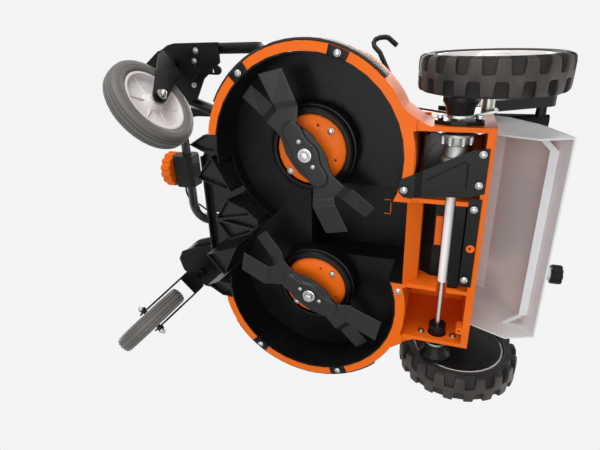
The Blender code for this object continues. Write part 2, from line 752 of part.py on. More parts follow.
def front_guard():
    """Apron between the rings' fronts, with the moulded guides that part the grass."""
    top = PLATE_LOW - GAP
    low = top - APRON_THICK
    back = APRON_FRONT + APRON_DEPTH
    half = [
        (APRON_HALF - APRON_SLANT, APRON_FRONT),
        (APRON_HALF - APRON_CORNER, APRON_FRONT + 0.012),
        (APRON_HALF, APRON_FRONT + APRON_SIDE),
        (APRON_HALF - 0.01, back),
    ]
    guard = prism("front_guard", half + [(-x, y) for x, y in half[::-1]], low, top)
    lip_half = APRON_HALF - APRON_SLANT - 0.002
    lip = loft(
        "lip",
        [
            [(x, APRON_FRONT + 0.0004, low + 0.001), (x, APRON_FRONT + 0.004, low + 0.001),
             (x, APRON_FRONT + 0.004, low - 0.016), (x, APRON_FRONT + 0.0004, low - 0.016)]
            for x in (-lip_half, lip_half)
        ],
    )
    join(guard, lip)
    seat = low + 0.0015
    for _, side in SIDES:
        # Long guide: a wedge with a twisted lower face that rises towards the ring
        tip = (side * GUIDE_TIP_X, GUIDE_TIP_Y)
        corner = (side * (GUIDE_TIP_X + 0.048), GUIDE_TIP_Y + 0.040)
        rear = (side * (GUIDE_TIP_X + 0.004), GUIDE_TIP_Y + 0.083)
        inner = (side * (GUIDE_TIP_X - 0.026), GUIDE_TIP_Y + 0.076)
        points = [(*tip, GUIDE_LOW + 0.006), (*corner, GUIDE_LOW + 0.006), (*rear, seat - 0.010)]
        points += [(*inner, GUIDE_LOW + 0.010)]
        points += [(x * 0.98, y + 0.006, seat) for x, y in (tip, corner, rear, inner)]
        join(guard, hull("guide", points))
        # Flat outer guide beside the orange rim
        around = ((0.023, 0.0), (0.0015, 0.036), (0.0005, 0.063), (0.036, 0.059), (0.036, 0.029))
        outer = mirrored([(APRON_HALF - x, GUIDE_TIP_Y + y) for x, y in around], side)
        points = [(x, y, SKIRT_LOW + 0.001) for x, y in outer]
        points += [(x * 0.985, y + 0.010, seat) for x, y in outer]
        join(guard, hull("guide", points))
    # Middle guide: a boat-shaped wedge that ends in the cusp between the rings
    bow, waist, stern = APRON_FRONT + 0.060, APRON_FRONT + 0.088, APRON_FRONT + 0.158
    middle = [(0.0, bow), (0.046, waist), (0.018, stern), (-0.018, stern), (-0.046, waist)]
    points = [(x, y, GUIDE_LOW + 0.004) for x, y in middle[:1]]
    points += [(x, y, GUIDE_LOW + 0.008) for x, y in middle[1:]]
    points += [(x * 0.8, y + 0.004, seat) for x, y in middle]
    join(guard, hull("guide", points))
    hole = (-0.024, APRON_FRONT + 0.020)
    cut(guard, rod("hole", 0.006, (*hole, low - 0.01), (*hole, top + 0.01)))
    cut(guard, peanut_solid("rings", [(LINER_R + GAP, 0.0), (LINER_R + GAP, 0.2)]))
    guard.data.materials.append(material(BLACK))
    return guard


def edge_guard(word, side):
    """Rubber strip round the outside of a lobe."""
    start, end = (-62, 46) if side > 0 else (242, 134)
    return sector(
        "edge_guard_" + word, (side * BLADE_X, 0), DECK_R + GAP, DECK_R + EDGE_GUARD_THICK, start, end,
        EDGE_GUARD_LOW, EDGE_GUARD_HIGH, 18, RUBBER,
    )


def blade(word, side, turn):
    """Four-winged mulching blade: a waisted bar whose ends fork into a low and a high wing."""
    low = BLADE_LOW
    # Outline of the bar's middle and corners of each wing, as shares of the tip's radius
    half_outline = [
        (0.000, 0.202), (0.131, 0.196), (0.237, 0.160), (0.326, 0.128), (0.404, 0.142), (0.475, 0.202),
        (0.499, 0.119), (0.558, -0.059), (0.534, -0.178), (0.404, -0.139), (0.326, -0.128), (0.237, -0.160),
        (0.131, -0.196),
    ]
    low_wing = (
        ((0.392, -0.095), (0.320, 0.119), 0.0),
        ((0.593, 0.012), (0.475, 0.249), 0.0),
        ((0.653, 0.030), (0.534, 0.279), -BLADE_NEAR_DROP),
        ((0.994, 0.083), (0.890, 0.344), -BLADE_NEAR_DROP),
    )
    high_wing = (
        ((0.356, -0.125), (0.392, 0.071), 0.0),
        ((0.534, -0.178), (0.570, 0.012), 0.0),
        ((0.617, -0.208), (0.653, -0.018), BLADE_FAR_RISE * 0.75),
        ((0.938, -0.297), (0.988, -0.119), BLADE_FAR_RISE),
    )
    half_outline = [(x * BLADE_TIP_R, y * BLADE_TIP_R) for x, y in half_outline]
    bar = half_outline + [(-x, -y) for x, y in half_outline]
    pieces = [prism("blade_" + word, bar, low, low + BLADE_THICK)]
    angles = [2 * math.pi * i / 14 for i in range(14)]
    pad = [(BLADE_TIP_R * 0.309 * math.cos(a), BLADE_TIP_R * 0.145 * math.sin(a)) for a in angles]
    pieces.append(prism("pad", pad, low + 0.001, low + BLADE_PAD))
    for end in (0, 1):
        for wing in (low_wing, high_wing):
            sections = []
            for (ax, ay), (bx, by), rise in wing:
                inset = 0.0 if rise else GAP
                z = low + rise + inset
                top = z + BLADE_THICK - 2 * inset
                lift = BLADE_LIFT if ax > 0.9 else 0.0
                corners = ((ax, ay, z), (bx, by, z + lift), (bx, by, top + lift), (ax, ay, top))
                sections.append([(x * BLADE_TIP_R, y * BLADE_TIP_R, height) for x, y, height in corners])
            made = loft("wing", sections)
            if end:
                made.data.transform(Matrix.Rotation(math.pi, 4, "Z"))
            pieces.append(made)
    made = join(pieces[0], *pieces[1:])
    cut(made, rod("bore", BOLT_R + GAP, (0, 0, low - 0.01), (0, 0, low + 0.02), 12))
    for sign in (1, -1):
        cut(made, rod("pin_hole", 0.004, (sign * 0.0215, 0, low - 0.01), (sign * 0.0215, 0, low + 0.02), 6))
    if side < 0:
        made.data.transform(Matrix.Scale(-1, 4, Vector((0, 1, 0))))
        made.data.flip_normals()
    made.data.transform(Matrix.Translation((side * BLADE_X, 0, 0)) @ Matrix.Rotation(turn, 4, "Z"))
    made.data.materials.append(material(BLADE_GREY))
    return made


def spindle(word, side):
    """Shaft with the blade bolt's nut below and a toothed pulley on top."""
    seat = BLADE_TOP + GAP
    nut_top = BLADE_LOW - GAP
    profile = [
        (0, nut_top - NUT_HEIGHT),
        (NUT_R * 0.8, nut_top - NUT_HEIGHT),
        (NUT_R, nut_top - NUT_HEIGHT + 0.0015),
        (NUT_R, nut_top),
        (BOLT_R, nut_top),
        (BOLT_R, seat),
        (0.018, seat),
        (0.018, FLANGE_LOW - 0.002),
        (SPINDLE_R, FLANGE_LOW - 0.002),
        (SPINDLE_R, BELT_LOW - 0.003),
        (PULLEY_R + 0.003, BELT_LOW - 0.003),
        (PULLEY_R + 0.003, BELT_LOW - 0.001),
        (PULLEY_R, BELT_LOW - 0.001),
        (PULLEY_R, BELT_LOW + BELT_WIDTH + 0.001),
        (PULLEY_R + 0.003, BELT_LOW + BELT_WIDTH + 0.001),
        (PULLEY_R + 0.003, BELT_LOW + BELT_WIDTH + 0.003),
        (0, BELT_LOW + BELT_WIDTH + 0.003),
    ]
    return lathe("spindle_" + word, profile, (side * BLADE_X, 0, 0), steps=14, finish=STEEL)


def spindle_flange(word, side):
    """Domed orange flange that closes the spindle bearing against grass."""
    bore = SPINDLE_R + RUN
    profile = [
        (bore, FLANGE_LOW),
        (FLANGE_R * 0.62, FLANGE_LOW),
        (FLANGE_R * 0.84, FLANGE_LOW + 0.0025),
        (FLANGE_R * 0.96, FLANGE_LOW + 0.008),
        (FLANGE_R, FLANGE_SHOULDER),
        (FLANGE_R, CEILING - GAP),
        (bore, CEILING - GAP),
    ]
    made = lathe("spindle_flange_" + word, profile, (side * BLADE_X, 0, 0), steps=24, finish=ORANGE)
    holes = []
    for i in range(4):
        angle = math.radians(18 + 90 * i)
        x = side * BLADE_X + 0.052 * math.cos(angle)
        y = 0.052 * math.sin(angle)
        holes.append(rod("hole", 0.0028, (x, y, FLANGE_LOW - 0.005), (x, y, FLANGE_LOW + 0.012), 8))
    return smooth(cut(made, gathered("holes", holes)), 40)


def belt_stops():
    """Pulleys in the order that the belt passes them: centre, radius, turning sense."""
    return [
        ((BLADE_X, 0.0), PULLEY_R, 1),
        ((SMALL_PULLEY_X, SMALL_PULLEY_Y), SMALL_PULLEY_R, 1),
        ((-BLADE_X, 0.0), PULLEY_R, -1),
        ((SMALL_PULLEY_X, -SMALL_PULLEY_Y), SMALL_PULLEY_R, 1),
    ]


def belt_line(clear):
    """The belt's inner line: tangents between pulleys, and arcs round them."""
    stops = belt_stops()
    count = len(stops)
    ends = []
    for i in range(count):
        (c1, r1, s1), (c2, r2, s2) = stops[i], stops[(i + 1) % count]
        r1 = r1 + clear if s1 > 0 else -(r1 + clear + BELT_THICK)
        r2 = r2 + clear if s2 > 0 else -(r2 + clear + BELT_THICK)
        dx, dy = c2[0] - c1[0], c2[1] - c1[1]
        distance = math.hypot(dx, dy)
        along = math.atan2(dy, dx)
        lean = math.acos((r1 - r2) / distance)
        normal = along - lean
        ends.append(
            (
                (c1[0] + r1 * math.cos(normal), c1[1] + r1 * math.sin(normal)),
                (c2[0] + r2 * math.cos(normal), c2[1] + r2 * math.sin(normal)),
            )
        )
    line = []
    for i in range(count):
        centre, _, sense = stops[i]
        into = ends[i - 1][1]
        out = ends[i][0]
        start = math.atan2(into[1] - centre[1], into[0] - centre[0])
        end = math.atan2(out[1] - centre[1], out[0] - centre[0])
        radius = math.hypot(into[0] - centre[0], into[1] - centre[1])
        sweep = (end - start) % (2 * math.pi)
        if sense < 0:
            sweep -= 2 * math.pi
        steps = max(3, int(abs(sweep) / math.radians(12)))
        for step in range(steps + 1):
            angle = start + sweep * step / steps
            line.append((centre[0] + radius * math.cos(angle), centre[1] + radius * math.sin(angle)))
    return line


def timing_belt():
    """Double-sided belt: inside round three pulleys, outside against the right spindle's."""
    inner = belt_line(2 * GAP)
    count = len(inner)
    outer = []
    for i in range(count):
        before, here, after = (Vector(inner[(i + k) % count]) for k in (-1, 0, 1))
        run = ((here - before).normalized() + (after - here).normalized()).normalized()
        outer.append(here + Vector((run.y, -run.x)) * BELT_THICK)
    high = BELT_LOW + BELT_WIDTH
    bm = bmesh.new()
    loops = []
    for line, z in ((inner, BELT_LOW), (outer, BELT_LOW), (outer, high), (inner, high)):
        loops.append([bm.verts.new((p[0], p[1], z)) for p in line])
    for k in range(4):
        first, second = loops[k], loops[(k + 1) % 4]
        for i in range(count):
            j = (i + 1) % count
            bm.faces.new((first[i], first[j], second[j], second[i]))
    return from_bmesh("timing_belt", bm, RUBBER)


def small_pulley(name, y, top):
    profile = [
        (0, BELT_LOW - 0.002),
        (SMALL_PULLEY_R, BELT_LOW - 0.002),
        (SMALL_PULLEY_R, BELT_LOW + BELT_WIDTH + 0.001),
        (0.006, BELT_LOW + BELT_WIDTH + 0.001),
        (0.006, top),
        (0, top),
    ]
    return lathe(name, profile, (SMALL_PULLEY_X, y, 0), steps=20, finish=STEEL)


def blade_motor():
    """Outrunner motor above the belt, with a waist round its can."""
    low = BELT_LOW + BELT_WIDTH + 0.004
    high = low + MOTOR_HEIGHT
    waist = MOTOR_R - 0.004
    profile = [
        (0.007, low), (MOTOR_R, low), (MOTOR_R, low + 0.005), (waist, low + 0.006),
        (waist, low + MOTOR_HEIGHT / 2), (MOTOR_R, low + MOTOR_HEIGHT / 2 + 0.003), (MOTOR_R, high),
        (0.007, high),
    ]
    return lathe("blade_motor", profile, (SMALL_PULLEY_X, -SMALL_PULLEY_Y, 0), steps=20, finish=DARK_GREY)


def rounded_rectangle(half_x, front, rear, corner, z, steps=4):
    points = []
    for cx, cy, start in (
        (half_x - corner, rear - corner, 0), (-half_x + corner, rear - corner, 90),
        (-half_x + corner, front + corner, 180), (half_x - corner, front + corner, 270),
    ):
        points += [(x, y, z) for x, y in arc((cx, cy), corner, start, start + 90, steps)]
    return points


def top_shroud():
    """Cover over belt, motor and battery bay: a hollow shell that draws in towards its top."""
    low = PLATE_TOP + GAP
    shoulder = SHROUD_TOP - 0.045

    def shell(name, inset, top_inset, bottom):
        levels = (
            (SHROUD_HALF, SHROUD_FRONT, SHROUD_REAR, 0.060, bottom),
            (SHROUD_HALF, SHROUD_FRONT + 0.004, SHROUD_REAR, 0.060, low + 0.050),
            (SHROUD_HALF - 0.012, SHROUD_FRONT + 0.018, SHROUD_REAR - 0.001, 0.055, shoulder),
            (SHROUD_HALF - 0.030, SHROUD_FRONT + 0.040, SHROUD_REAR - 0.012, 0.050, SHROUD_TOP - 0.010 - top_inset),
            (SHROUD_HALF - 0.052, SHROUD_FRONT + 0.062, SHROUD_REAR - 0.030, 0.045, SHROUD_TOP - top_inset),
        )
        sections = [
            rounded_rectangle(half - inset, front + inset, rear - inset, corner - inset, z)
            for half, front, rear, corner, z in levels
        ]
        return loft(name, sections)

    shroud = cut(shell("top_shroud", 0.0, 0.0, low), shell("inside", SHROUD_WALL, SHROUD_WALL, low - 0.01))
    # Clear of the orange box behind and of the tunnel hump below
    clear = BOX_HALF + BOX_FLARE + 0.02
    cut(shroud, block("box_clear", (-clear, BOX_FRONT - GAP, 0.10), (clear, BOX_REAR, BOX_TOP + GAP)))
    half_x, half_y, _ = BATTERY
    wall = SHROUD_WALL
    bay = block(
        "bay",
        (-half_x - 2 * wall, BATTERY_Y - half_y - 2 * wall, BATTERY_LOW - wall - GAP),
        (half_x + 2 * wall, BATTERY_Y + half_y + 2 * wall, SHROUD_TOP - 0.001),
    )
    mouth = block(
        "battery_mouth",
        (-half_x - wall, BATTERY_Y - half_y - wall, BATTERY_LOW - GAP),
        (half_x + wall, BATTERY_Y + half_y + wall, SHROUD_TOP + 0.02),
    )
    join(shroud, bay)
    cut(shroud, mouth)
    shroud.data.materials.append(material(BLACK))
    return smooth(shroud, 40)


def battery_pack():
    half_x, half_y, height = BATTERY
    pack = block(
        "battery_pack",
        (-half_x, BATTERY_Y - half_y, BATTERY_LOW),
        (half_x, BATTERY_Y + half_y, BATTERY_LOW + height),
        bevel=0.006,
    )
    grip = block(
        "grip_recess",
        (-half_x + 0.030, BATTERY_Y + half_y - 0.050, BATTERY_LOW + height - 0.012),
        (half_x - 0.030, BATTERY_Y + half_y - 0.022, BATTERY_LOW + height + 0.01),
    )
    cut(pack, grip)
    pack.data.materials.append(material(DARK_GREY))
    return pack


def battery_lid():
    """Lid over the battery bay, crowned, with its hinge barrel along the front edge."""
    half_x, half_y, _ = BATTERY
    low = SHROUD_TOP + GAP
    front = BATTERY_Y - half_y - LID_MARGIN
    rear = BATTERY_Y + half_y + LID_MARGIN
    half = half_x + LID_MARGIN
    sections = []
    steps = 8
    for i in range(steps + 1):
        x = -half + 2 * half * i / steps
        crown = 0.006 * (1 - (x / half) ** 2)
        sections.append(
            [(x, front, low), (x, rear, low), (x, rear, low + LID_THICK + crown * 0.6),
             (x, front + 0.02, low + LID_THICK + crown), (x, front, low + LID_THICK)]
        )
    lid = loft("battery_lid", sections)
    y, z = lid_hinge()
    join(lid, rod("barrel", LID_HINGE_R, (-half * 0.8, y, z), (half * 0.8, y, z), 12))
    lid.data.materials.append(material(WHITE))
    return smooth(lid, 40)


def lid_hinge():
    return BATTERY_Y - BATTERY[1] - LID_MARGIN - 0.002, SHROUD_TOP + GAP + LID_HINGE_R


def gearbox():
    """Cast housing on the drive shaft, with flanges and bolt bosses."""
    profile = [
        (0, GEARBOX_RIGHT), (0.012, GEARBOX_RIGHT), (0.012, GEARBOX_RIGHT + 0.008),
        (0.019, GEARBOX_RIGHT + 0.010), (GEARBOX_R, GEARBOX_RIGHT + 0.020), (GEARBOX_R, GEARBOX_LEFT - 0.034),
        (GEARBOX_R + 0.001, GEARBOX_LEFT - 0.033), (GEARBOX_R + 0.001, GEARBOX_LEFT - 0.025),
        (0.021, GEARBOX_LEFT - 0.023), (0.019, GEARBOX_LEFT - 0.008), (0.014, GEARBOX_LEFT),
        (0, GEARBOX_LEFT),
    ]
    made = lathe("gearbox", profile, (0, SHAFT_Y, SHAFT_Z), axis="x", steps=20)
    neck_x = DRIVE_MOTOR_X
    neck_top = (neck_x, SHAFT_Y, GEARBOX_TOP)
    join(made, rod("neck", GEARBOX_NECK_R, (neck_x, SHAFT_Y, SHAFT_Z + 0.01), neck_top, 12))
    bore_end = (GEARBOX_LEFT + 0.01, SHAFT_Y, SHAFT_Z)
    cut(made, rod("bore", SHAFT_R + RUN, (GEARBOX_RIGHT - 0.01, SHAFT_Y, SHAFT_Z), bore_end, 16))
    made.data.materials.append(material(ALUMINIUM))
    return smooth(made, 40)


def drive_motor():
    """Drum-shaped motor cover over the gearbox, with an embossed arc on its face."""
    low = GEARBOX_TOP + GAP
    high = BOX_TOP - BOX_WALL - GAP * 2
    r = DRIVE_MOTOR_R
    profile = [
        (0, low), (r * 0.62, low), (r * 0.64, low + 0.003), (r * 0.74, low + 0.003), (r * 0.76, low),
        (r - 0.005, low), (r, low + 0.005), (r, high), (0, high),
    ]
    return lathe("drive_motor", profile, (DRIVE_MOTOR_X, DRIVE_MOTOR_Y, 0), steps=24, finish=DARK_GREY)


def guard_plate():
    """Pressed steel plate under the gearbox, with stiffening beads."""
    high = BOX_LOW - GAP
    low = high - PLATE_THICK
    # The front end steps down under the ring's flange
    drop = BOX_LOW - SKIRT_LOW
    sections = []
    mid = DRIVE_MOTOR_X
    for back, right, left, down in (
        (0.147, 0.052, 0.028, drop), (0.138, 0.060, 0.024, drop), (0.121, 0.059, 0.016, drop),
        (0.109, 0.058, 0.010, 0.0), (0.032, 0.0525, -0.029, 0.0), (0.0065, 0.044, -0.033, 0.0),
    ):
        y = BOX_REAR - back
        corners = ((mid - right, low), (mid - left, low), (mid - left, high), (mid - right, high))
        sections.append([(x, y, z - down) for x, z in corners])
    plate = loft("guard_plate", sections)
    beads = ((-0.026, 0.102, 0.010, 0.041), (-0.0465, 0.102, -0.042, 0.041), (0.008, 0.037, -0.039, 0.037))
    for x0, back0, x1, back1 in beads:
        first = Vector((mid + x0, BOX_REAR - back0, low + 0.0004))
        second = Vector((mid + x1, BOX_REAR - back1, low + 0.0004))
        join(plate, rod("bead", 0.0016, first, second, 8))
    for x, back, down in ((0.023, 0.0165, 0.0), (-0.029, 0.017, 0.0), (-0.0435, 0.135, drop)):
        join(plate, screw_head(mid + x, BOX_REAR - back, low - down))
    plate.data.materials.append(material(BLACK_STEEL))
    return plate


def screw_head(x, y, z):
    """Washer-head screw seen from below, its head standing down from a face at z."""
    profile = [
        (0, z - 0.0040), (0.0040, z - 0.0035), (0.0042, z - 0.0012), (0.0062, z - 0.0012),
        (0.0062, z + 0.001),
        (0, z + 0.001),
    ]
    return lathe("screw", profile, (x, y, 0), steps=8)


def cover_strip():
    """Long strip that closes the chute's rear edge against the beam."""
    high = BOX_LOW - GAP
    low = high - PLATE_THICK
    left = DRIVE_MOTOR_X - COVER_LEFT
    right = CHANNEL_RIGHT + COVER_RIGHT
    strip = block("cover_strip", (right, SHAFT_Y + 0.0295, low), (left, BOX_REAR - 0.0085, high))
    for x in (left - 0.0175, right + 0.015):
        join(strip, screw_head(x, BOX_REAR - 0.0195, low))
    hole_top = (LUG_X[0], LUG_Y, high + 0.01)
    cut(strip, rod("lug_hole", LUG_R + 2 * GAP, (LUG_X[0], LUG_Y, low - 0.01), hole_top, 16))
    strip.data.materials.append(material(BLACK_STEEL))
    return strip


def drive_shaft():
    """Shaft across the machine, with a pinion inside each rear wheel."""
    reach = WHEEL_IN + 0.027
    pinion_in = WHEEL_IN + 0.0125
    profile = [
        (0, -reach), (PINION_R, -reach), (PINION_R, -pinion_in), (SHAFT_R, -pinion_in), (SHAFT_R, pinion_in),
        (PINION_R, pinion_in), (PINION_R, reach), (0, reach),
    ]
    return lathe("drive_shaft", profile, (0, SHAFT_Y, SHAFT_Z), axis="x", steps=16, finish=STEEL)


def shaft_sleeve():
    left = GEARBOX_RIGHT - GAP
    bore = SHAFT_R + RUN
    profile = [(bore, SLEEVE_RIGHT), (SLEEVE_R, SLEEVE_RIGHT), (SLEEVE_R, left), (bore, left)]
    return lathe("shaft_sleeve", profile, (0, SHAFT_Y, SHAFT_Z), axis="x", steps=20, finish=WHITE)


def bearing_flange(word, side):
    """Flanged shaft bearing bolted on the housing's side wall."""
    face = BOX_HALF + GAP
    out = face + BEARING_THICK
    outline = []
    for y, start in ((SHAFT_Y + 0.030, -70), (SHAFT_Y - 0.030, 110)):
        outline += arc((y, SHAFT_Z), 0.010, start, start + 140, 5)
    top = [(SHAFT_Y + 0.012, SHAFT_Z + 0.020), (SHAFT_Y - 0.012, SHAFT_Z + 0.020)]
    bottom = [(SHAFT_Y - 0.012, SHAFT_Z - 0.020), (SHAFT_Y + 0.012, SHAFT_Z - 0.020)]
    outline = outline[:6] + top + outline[6:] + bottom
    plate = prism("bearing_flange_" + word, outline, side * face, side * out, axis="x")
    inner = BOX_HALF - (GEARBOX_CLEAR if side < 0 else GEARBOX_CLEAR - 0.004)
    hub_end = (side * (out - 0.001), SHAFT_Y, SHAFT_Z)
    hub = rod("hub", SHAFT_PORT_R - 0.002, (side * inner, SHAFT_Y, SHAFT_Z), hub_end, 20)
    join(plate, hub)
    for sign in (1, -1):
        y = SHAFT_Y + sign * 0.030
        bolt_end = (side * (out + 0.0035), y, SHAFT_Z)
        join(plate, rod("bolt", 0.0055, (side * (out - 0.001), y, SHAFT_Z), bolt_end, 6))
    bore_end = (side * (out + 0.01), SHAFT_Y, SHAFT_Z)
    cut(plate, rod("bore", SHAFT_R + RUN, (side * (inner - 0.01), SHAFT_Y, SHAFT_Z), bore_end, 12))
    plate.data.materials.append(material(BLACK_STEEL))
    return smooth(plate, 40)


def blend_outline(circles):
    """The taut outline round a few discs, anticlockwise."""
    points = []
    for (cx, cy), radius in circles:
        angles = [2 * math.pi * i / 12 for i in range(12)]
        points += [(cx + radius * math.cos(a), cy + radius * math.sin(a)) for a in angles]
    points.sort()
    outline = []
    for pass_points in (points, points[::-1]):
        chain = []
        for p in pass_points:
            while len(chain) > 1 and (
                (chain[-1][0] - chain[-2][0]) * (p[1] - chain[-2][1])
                - (chain[-1][1] - chain[-2][1]) * (p[0] - chain[-2][0])
            ) <= 1e-12:
                chain.pop()
            chain.append(p)
        outline += chain[:-1]
    return outline


def carrier(word, side):
    """Plated swing arm: it hangs the wheel's axle from the shaft bearing."""
    pin = (SHAFT_Y + LEVER_ARM * math.cos(PIN_ANGLE), SHAFT_Z + LEVER_ARM * math.sin(PIN_ANGLE))
    circles = [((SHAFT_Y, SHAFT_Z), 0.021), ((WHEEL_Y, WHEEL_R), 0.018), (pin, 0.010)]
    plate = prism("carrier_" + word, blend_outline(circles), side * CARRIER_IN, side * CARRIER_OUT, axis="x")
    stub = lathe(
        "stub",
        [(0, CARRIER_IN + 0.001), (AXLE_R + 0.003, CARRIER_IN + 0.001), (AXLE_R + 0.003, WHEEL_IN - 0.001),
         (AXLE_R, WHEEL_IN - 0.001), (AXLE_R, WHEEL_OUT - 0.014), (AXLE_R - 0.001, WHEEL_OUT - 0.013),
         (0, WHEEL_OUT - 0.013)],
        (0, WHEEL_Y, WHEEL_R), axis="x", steps=16,
    )
    if side < 0:
        stub.data.transform(Matrix.Scale(-1, 4, Vector((1, 0, 0))))
        stub.data.flip_normals()
    join(plate, stub)
    bore_end = (side * (CARRIER_OUT + 0.01), SHAFT_Y, SHAFT_Z)
    cut(plate, rod("bore", SHAFT_R + RUN, (side * (CARRIER_IN - 0.01), SHAFT_Y, SHAFT_Z), bore_end, 16))
    if side > 0:
        join(plate, rod("pin", PIN_R, (CARRIER_IN - 0.0060, *pin), (CARRIER_IN + 0.001, *pin), 12))
    plate.data.materials.append(material(ZINC))
    return smooth(plate, 40)


def gear_cover(word, side):
    """Disc that closes the wheel's ring gear, with the conical boot round the pinion shaft."""
    start = CARRIER_OUT + GAP
    disc_in = WHEEL_IN + 0.0005
    disc_out = disc_in + 0.0035
    cover_r = TYRE_BEAD_R - 0.004
    disc_end = (side * disc_out, WHEEL_Y, WHEEL_R)
    disc = rod("gear_cover_" + word, cover_r, (side * disc_in, WHEEL_Y, WHEEL_R), disc_end, 20)
    cone = lathe(
        "boot",
        [(SHAFT_R + RUN, start), (BOOT_R * 0.70, start), (BOOT_R * 0.76, start + 0.012),
         (BOOT_R, WHEEL_IN - 0.008),
         (BOOT_R, WHEEL_IN - 0.0015), (BOOT_R / 2, WHEEL_IN - 0.0015), (BOOT_R / 2, disc_in + 0.001),
         (SHAFT_R + RUN, disc_in + 0.001)],
        (0, SHAFT_Y, SHAFT_Z), axis="x", steps=14,
    )
    if side < 0:
        cone.data.transform(Matrix.Scale(-1, 4, Vector((1, 0, 0))))
        cone.data.flip_normals()
    join(disc, cone)
    near = side * (start - 0.01)
    far = side * (disc_out + 0.01)
    cut(
        disc,
        rod("axle_hole", AXLE_R + 0.003 + RUN, (near, WHEEL_Y, WHEEL_R), (far, WHEEL_Y, WHEEL_R), 12),
        rod("shaft_hole", SHAFT_R + RUN, (near, SHAFT_Y, SHAFT_Z), (far, SHAFT_Y, SHAFT_Z), 14),
    )
    disc.data.materials.append(material(BLACK))
    return smooth(disc, 40)


def rear_tyre(word, side):
    """Tyre with a middle rib and two staggered rows of square lugs, drawn out of the tread."""
    base = WHEEL_R - TREAD_DEPTH
    w = WHEEL_WIDTH
    rib = 0.0045
    profile = [
        (TYRE_BEAD_R, 0.003), (TYRE_BEAD_R + 0.005, 0.0), (base - 0.005, 0.0), (base, 0.004),
        (base, w / 2 - rib),
        (WHEEL_R, w / 2 - rib + 0.001), (WHEEL_R, w / 2 + rib - 0.001), (base, w / 2 + rib),
        (base, w - 0.004),
        (base - 0.005, w), (TYRE_BEAD_R + 0.005, w), (TYRE_BEAD_R, w - 0.003),
    ]
    tyre = lathe("rear_tyre_" + word, profile, (0, 0, 0), axis="x", steps=LUGS * 2)
    bm = bmesh.new()
    bm.from_mesh(tyre.data)
    lugs = []
    for face in bm.faces:
        middle = face.calc_center_median()
        if math.hypot(middle.y, middle.z) < base - 0.002 or abs(face.normal.x) > 0.1:
            continue
        row = 0 if middle.x < w / 2 else 1
        if abs(middle.x - w / 2) < rib:
            continue
        step = int(math.atan2(middle.z, middle.y) / (math.pi / LUGS) + 100)
        if step % 2 == row:
            lugs.append(face)
    for face in lugs:
        raised = bmesh.ops.extrude_discrete_faces(bm, faces=[face])["faces"][0]
        middle = raised.calc_center_median()
        out = Vector((0, middle.y, middle.z)).normalized()
        for vert in raised.verts:
            vert.co = middle + (vert.co - middle) * 0.86 + out * (TREAD_DEPTH - 0.0006)
    bmesh.ops.recalc_face_normals(bm, faces=bm.faces)
    bm.to_mesh(tyre.data)
    bm.free()
    shift = WHEEL_IN if side > 0 else -WHEEL_OUT
    tyre.data.transform(Matrix.Translation((shift, WHEEL_Y, WHEEL_R)))
    tyre.data.materials.append(material(RUBBER))
    return smooth(tyre, 30)


def rear_rim(word, side):
    """Wheel disc: bored hub, dished web and outer wall, hollow inside for the ring gear."""
    inner = 0.0055
    w = WHEEL_WIDTH
    edge = TYRE_BEAD_R - GAP
    wall = edge - RIM_LIP
    profile = [
        (AXLE_R + RUN, inner), (0.018, inner), (0.018, w - 0.026), (wall, w - 0.026), (wall, inner),
        (edge, inner),
        (edge, w - 0.003), (edge - 0.006, w - 0.003), (edge - 0.010, w - 0.018), (0.038, w - 0.020),
        (0.024, w - 0.003),
        (AXLE_R + RUN, w - 0.003),
    ]
    rim = lathe("rear_rim_" + word, profile, (0, 0, 0), axis="x", steps=LUGS * 2)
    if side < 0:
        rim.data.transform(Matrix.Scale(-1, 4, Vector((1, 0, 0))))
        rim.data.flip_normals()
    rim.data.transform(Matrix.Translation((side * WHEEL_IN, WHEEL_Y, WHEEL_R)))
    rim.data.materials.append(material(RIM_GREY))
    return smooth(rim, 30)


def height_lever():
    """Bent round-bar lever on the left, with a flat arm that drives the link rod."""
    y, z = LEVER_Y, LEVER_Z
    x = CARRIER_IN - 0.0010
    pin = (y + LEVER_ARM * math.cos(PIN_ANGLE), z + LEVER_ARM * math.sin(PIN_ANGLE))
    arm = prism(
        "height_lever", blend_outline([((y, z), 0.012), (pin, 0.009)]), x, x + 0.005, axis="x",
    )
    path = rounded(
        [(x + 0.0055, y, z), (x + 0.0425, y - 0.002, z + 0.004), (x + 0.0965, y - 0.034, z + 0.030),
         (x + 0.1205, y - 0.062, z + 0.045), (x + 0.1235, y - 0.024, z + 0.050),
         (x + 0.1075, y - 0.004, z + 0.046)],
        0.012, 3,
    )
    handle = tube("handle", path, LEVER_WIRE_R, resolution=2)
    join(arm, handle)
    join(arm, rod("pivot", LEVER_PIVOT_R, (BOX_HALF + 0.0020, y, z), (x + 0.008, y, z), 16))
    join(arm, rod("pin", PIN_R, (x - 0.0050, *pin), (x + 0.001, *pin), 12))
    arm.data.materials.append(material(BLACK_STEEL))
    return smooth(arm, 40)


def link_rod():
    """Flat-eyed rod between the lever's arm and the left carrier."""
    front = Vector((LEVER_Y + LEVER_ARM * math.cos(PIN_ANGLE), LEVER_Z + LEVER_ARM * math.sin(PIN_ANGLE)))
    rear = Vector((SHAFT_Y + LEVER_ARM * math.cos(PIN_ANGLE), SHAFT_Z + LEVER_ARM * math.sin(PIN_ANGLE)))
    x = CARRIER_IN - 0.0055
    made = rod("link_rod", 0.0020, (x + 0.002, *front), (x + 0.002, *rear), 10)
    for eye in (front, rear):
        join(made, rod("eye", 0.0085, (x, *eye), (x + 0.0040, *eye), 16))
    for eye in (front, rear):
        cut(made, rod("eye_bore", PIN_R + RUN, (x - 0.01, *eye), (x + 0.01, *eye), 12))
    made.data.materials.append(material(BLACK_STEEL))
    return smooth(made, 40)


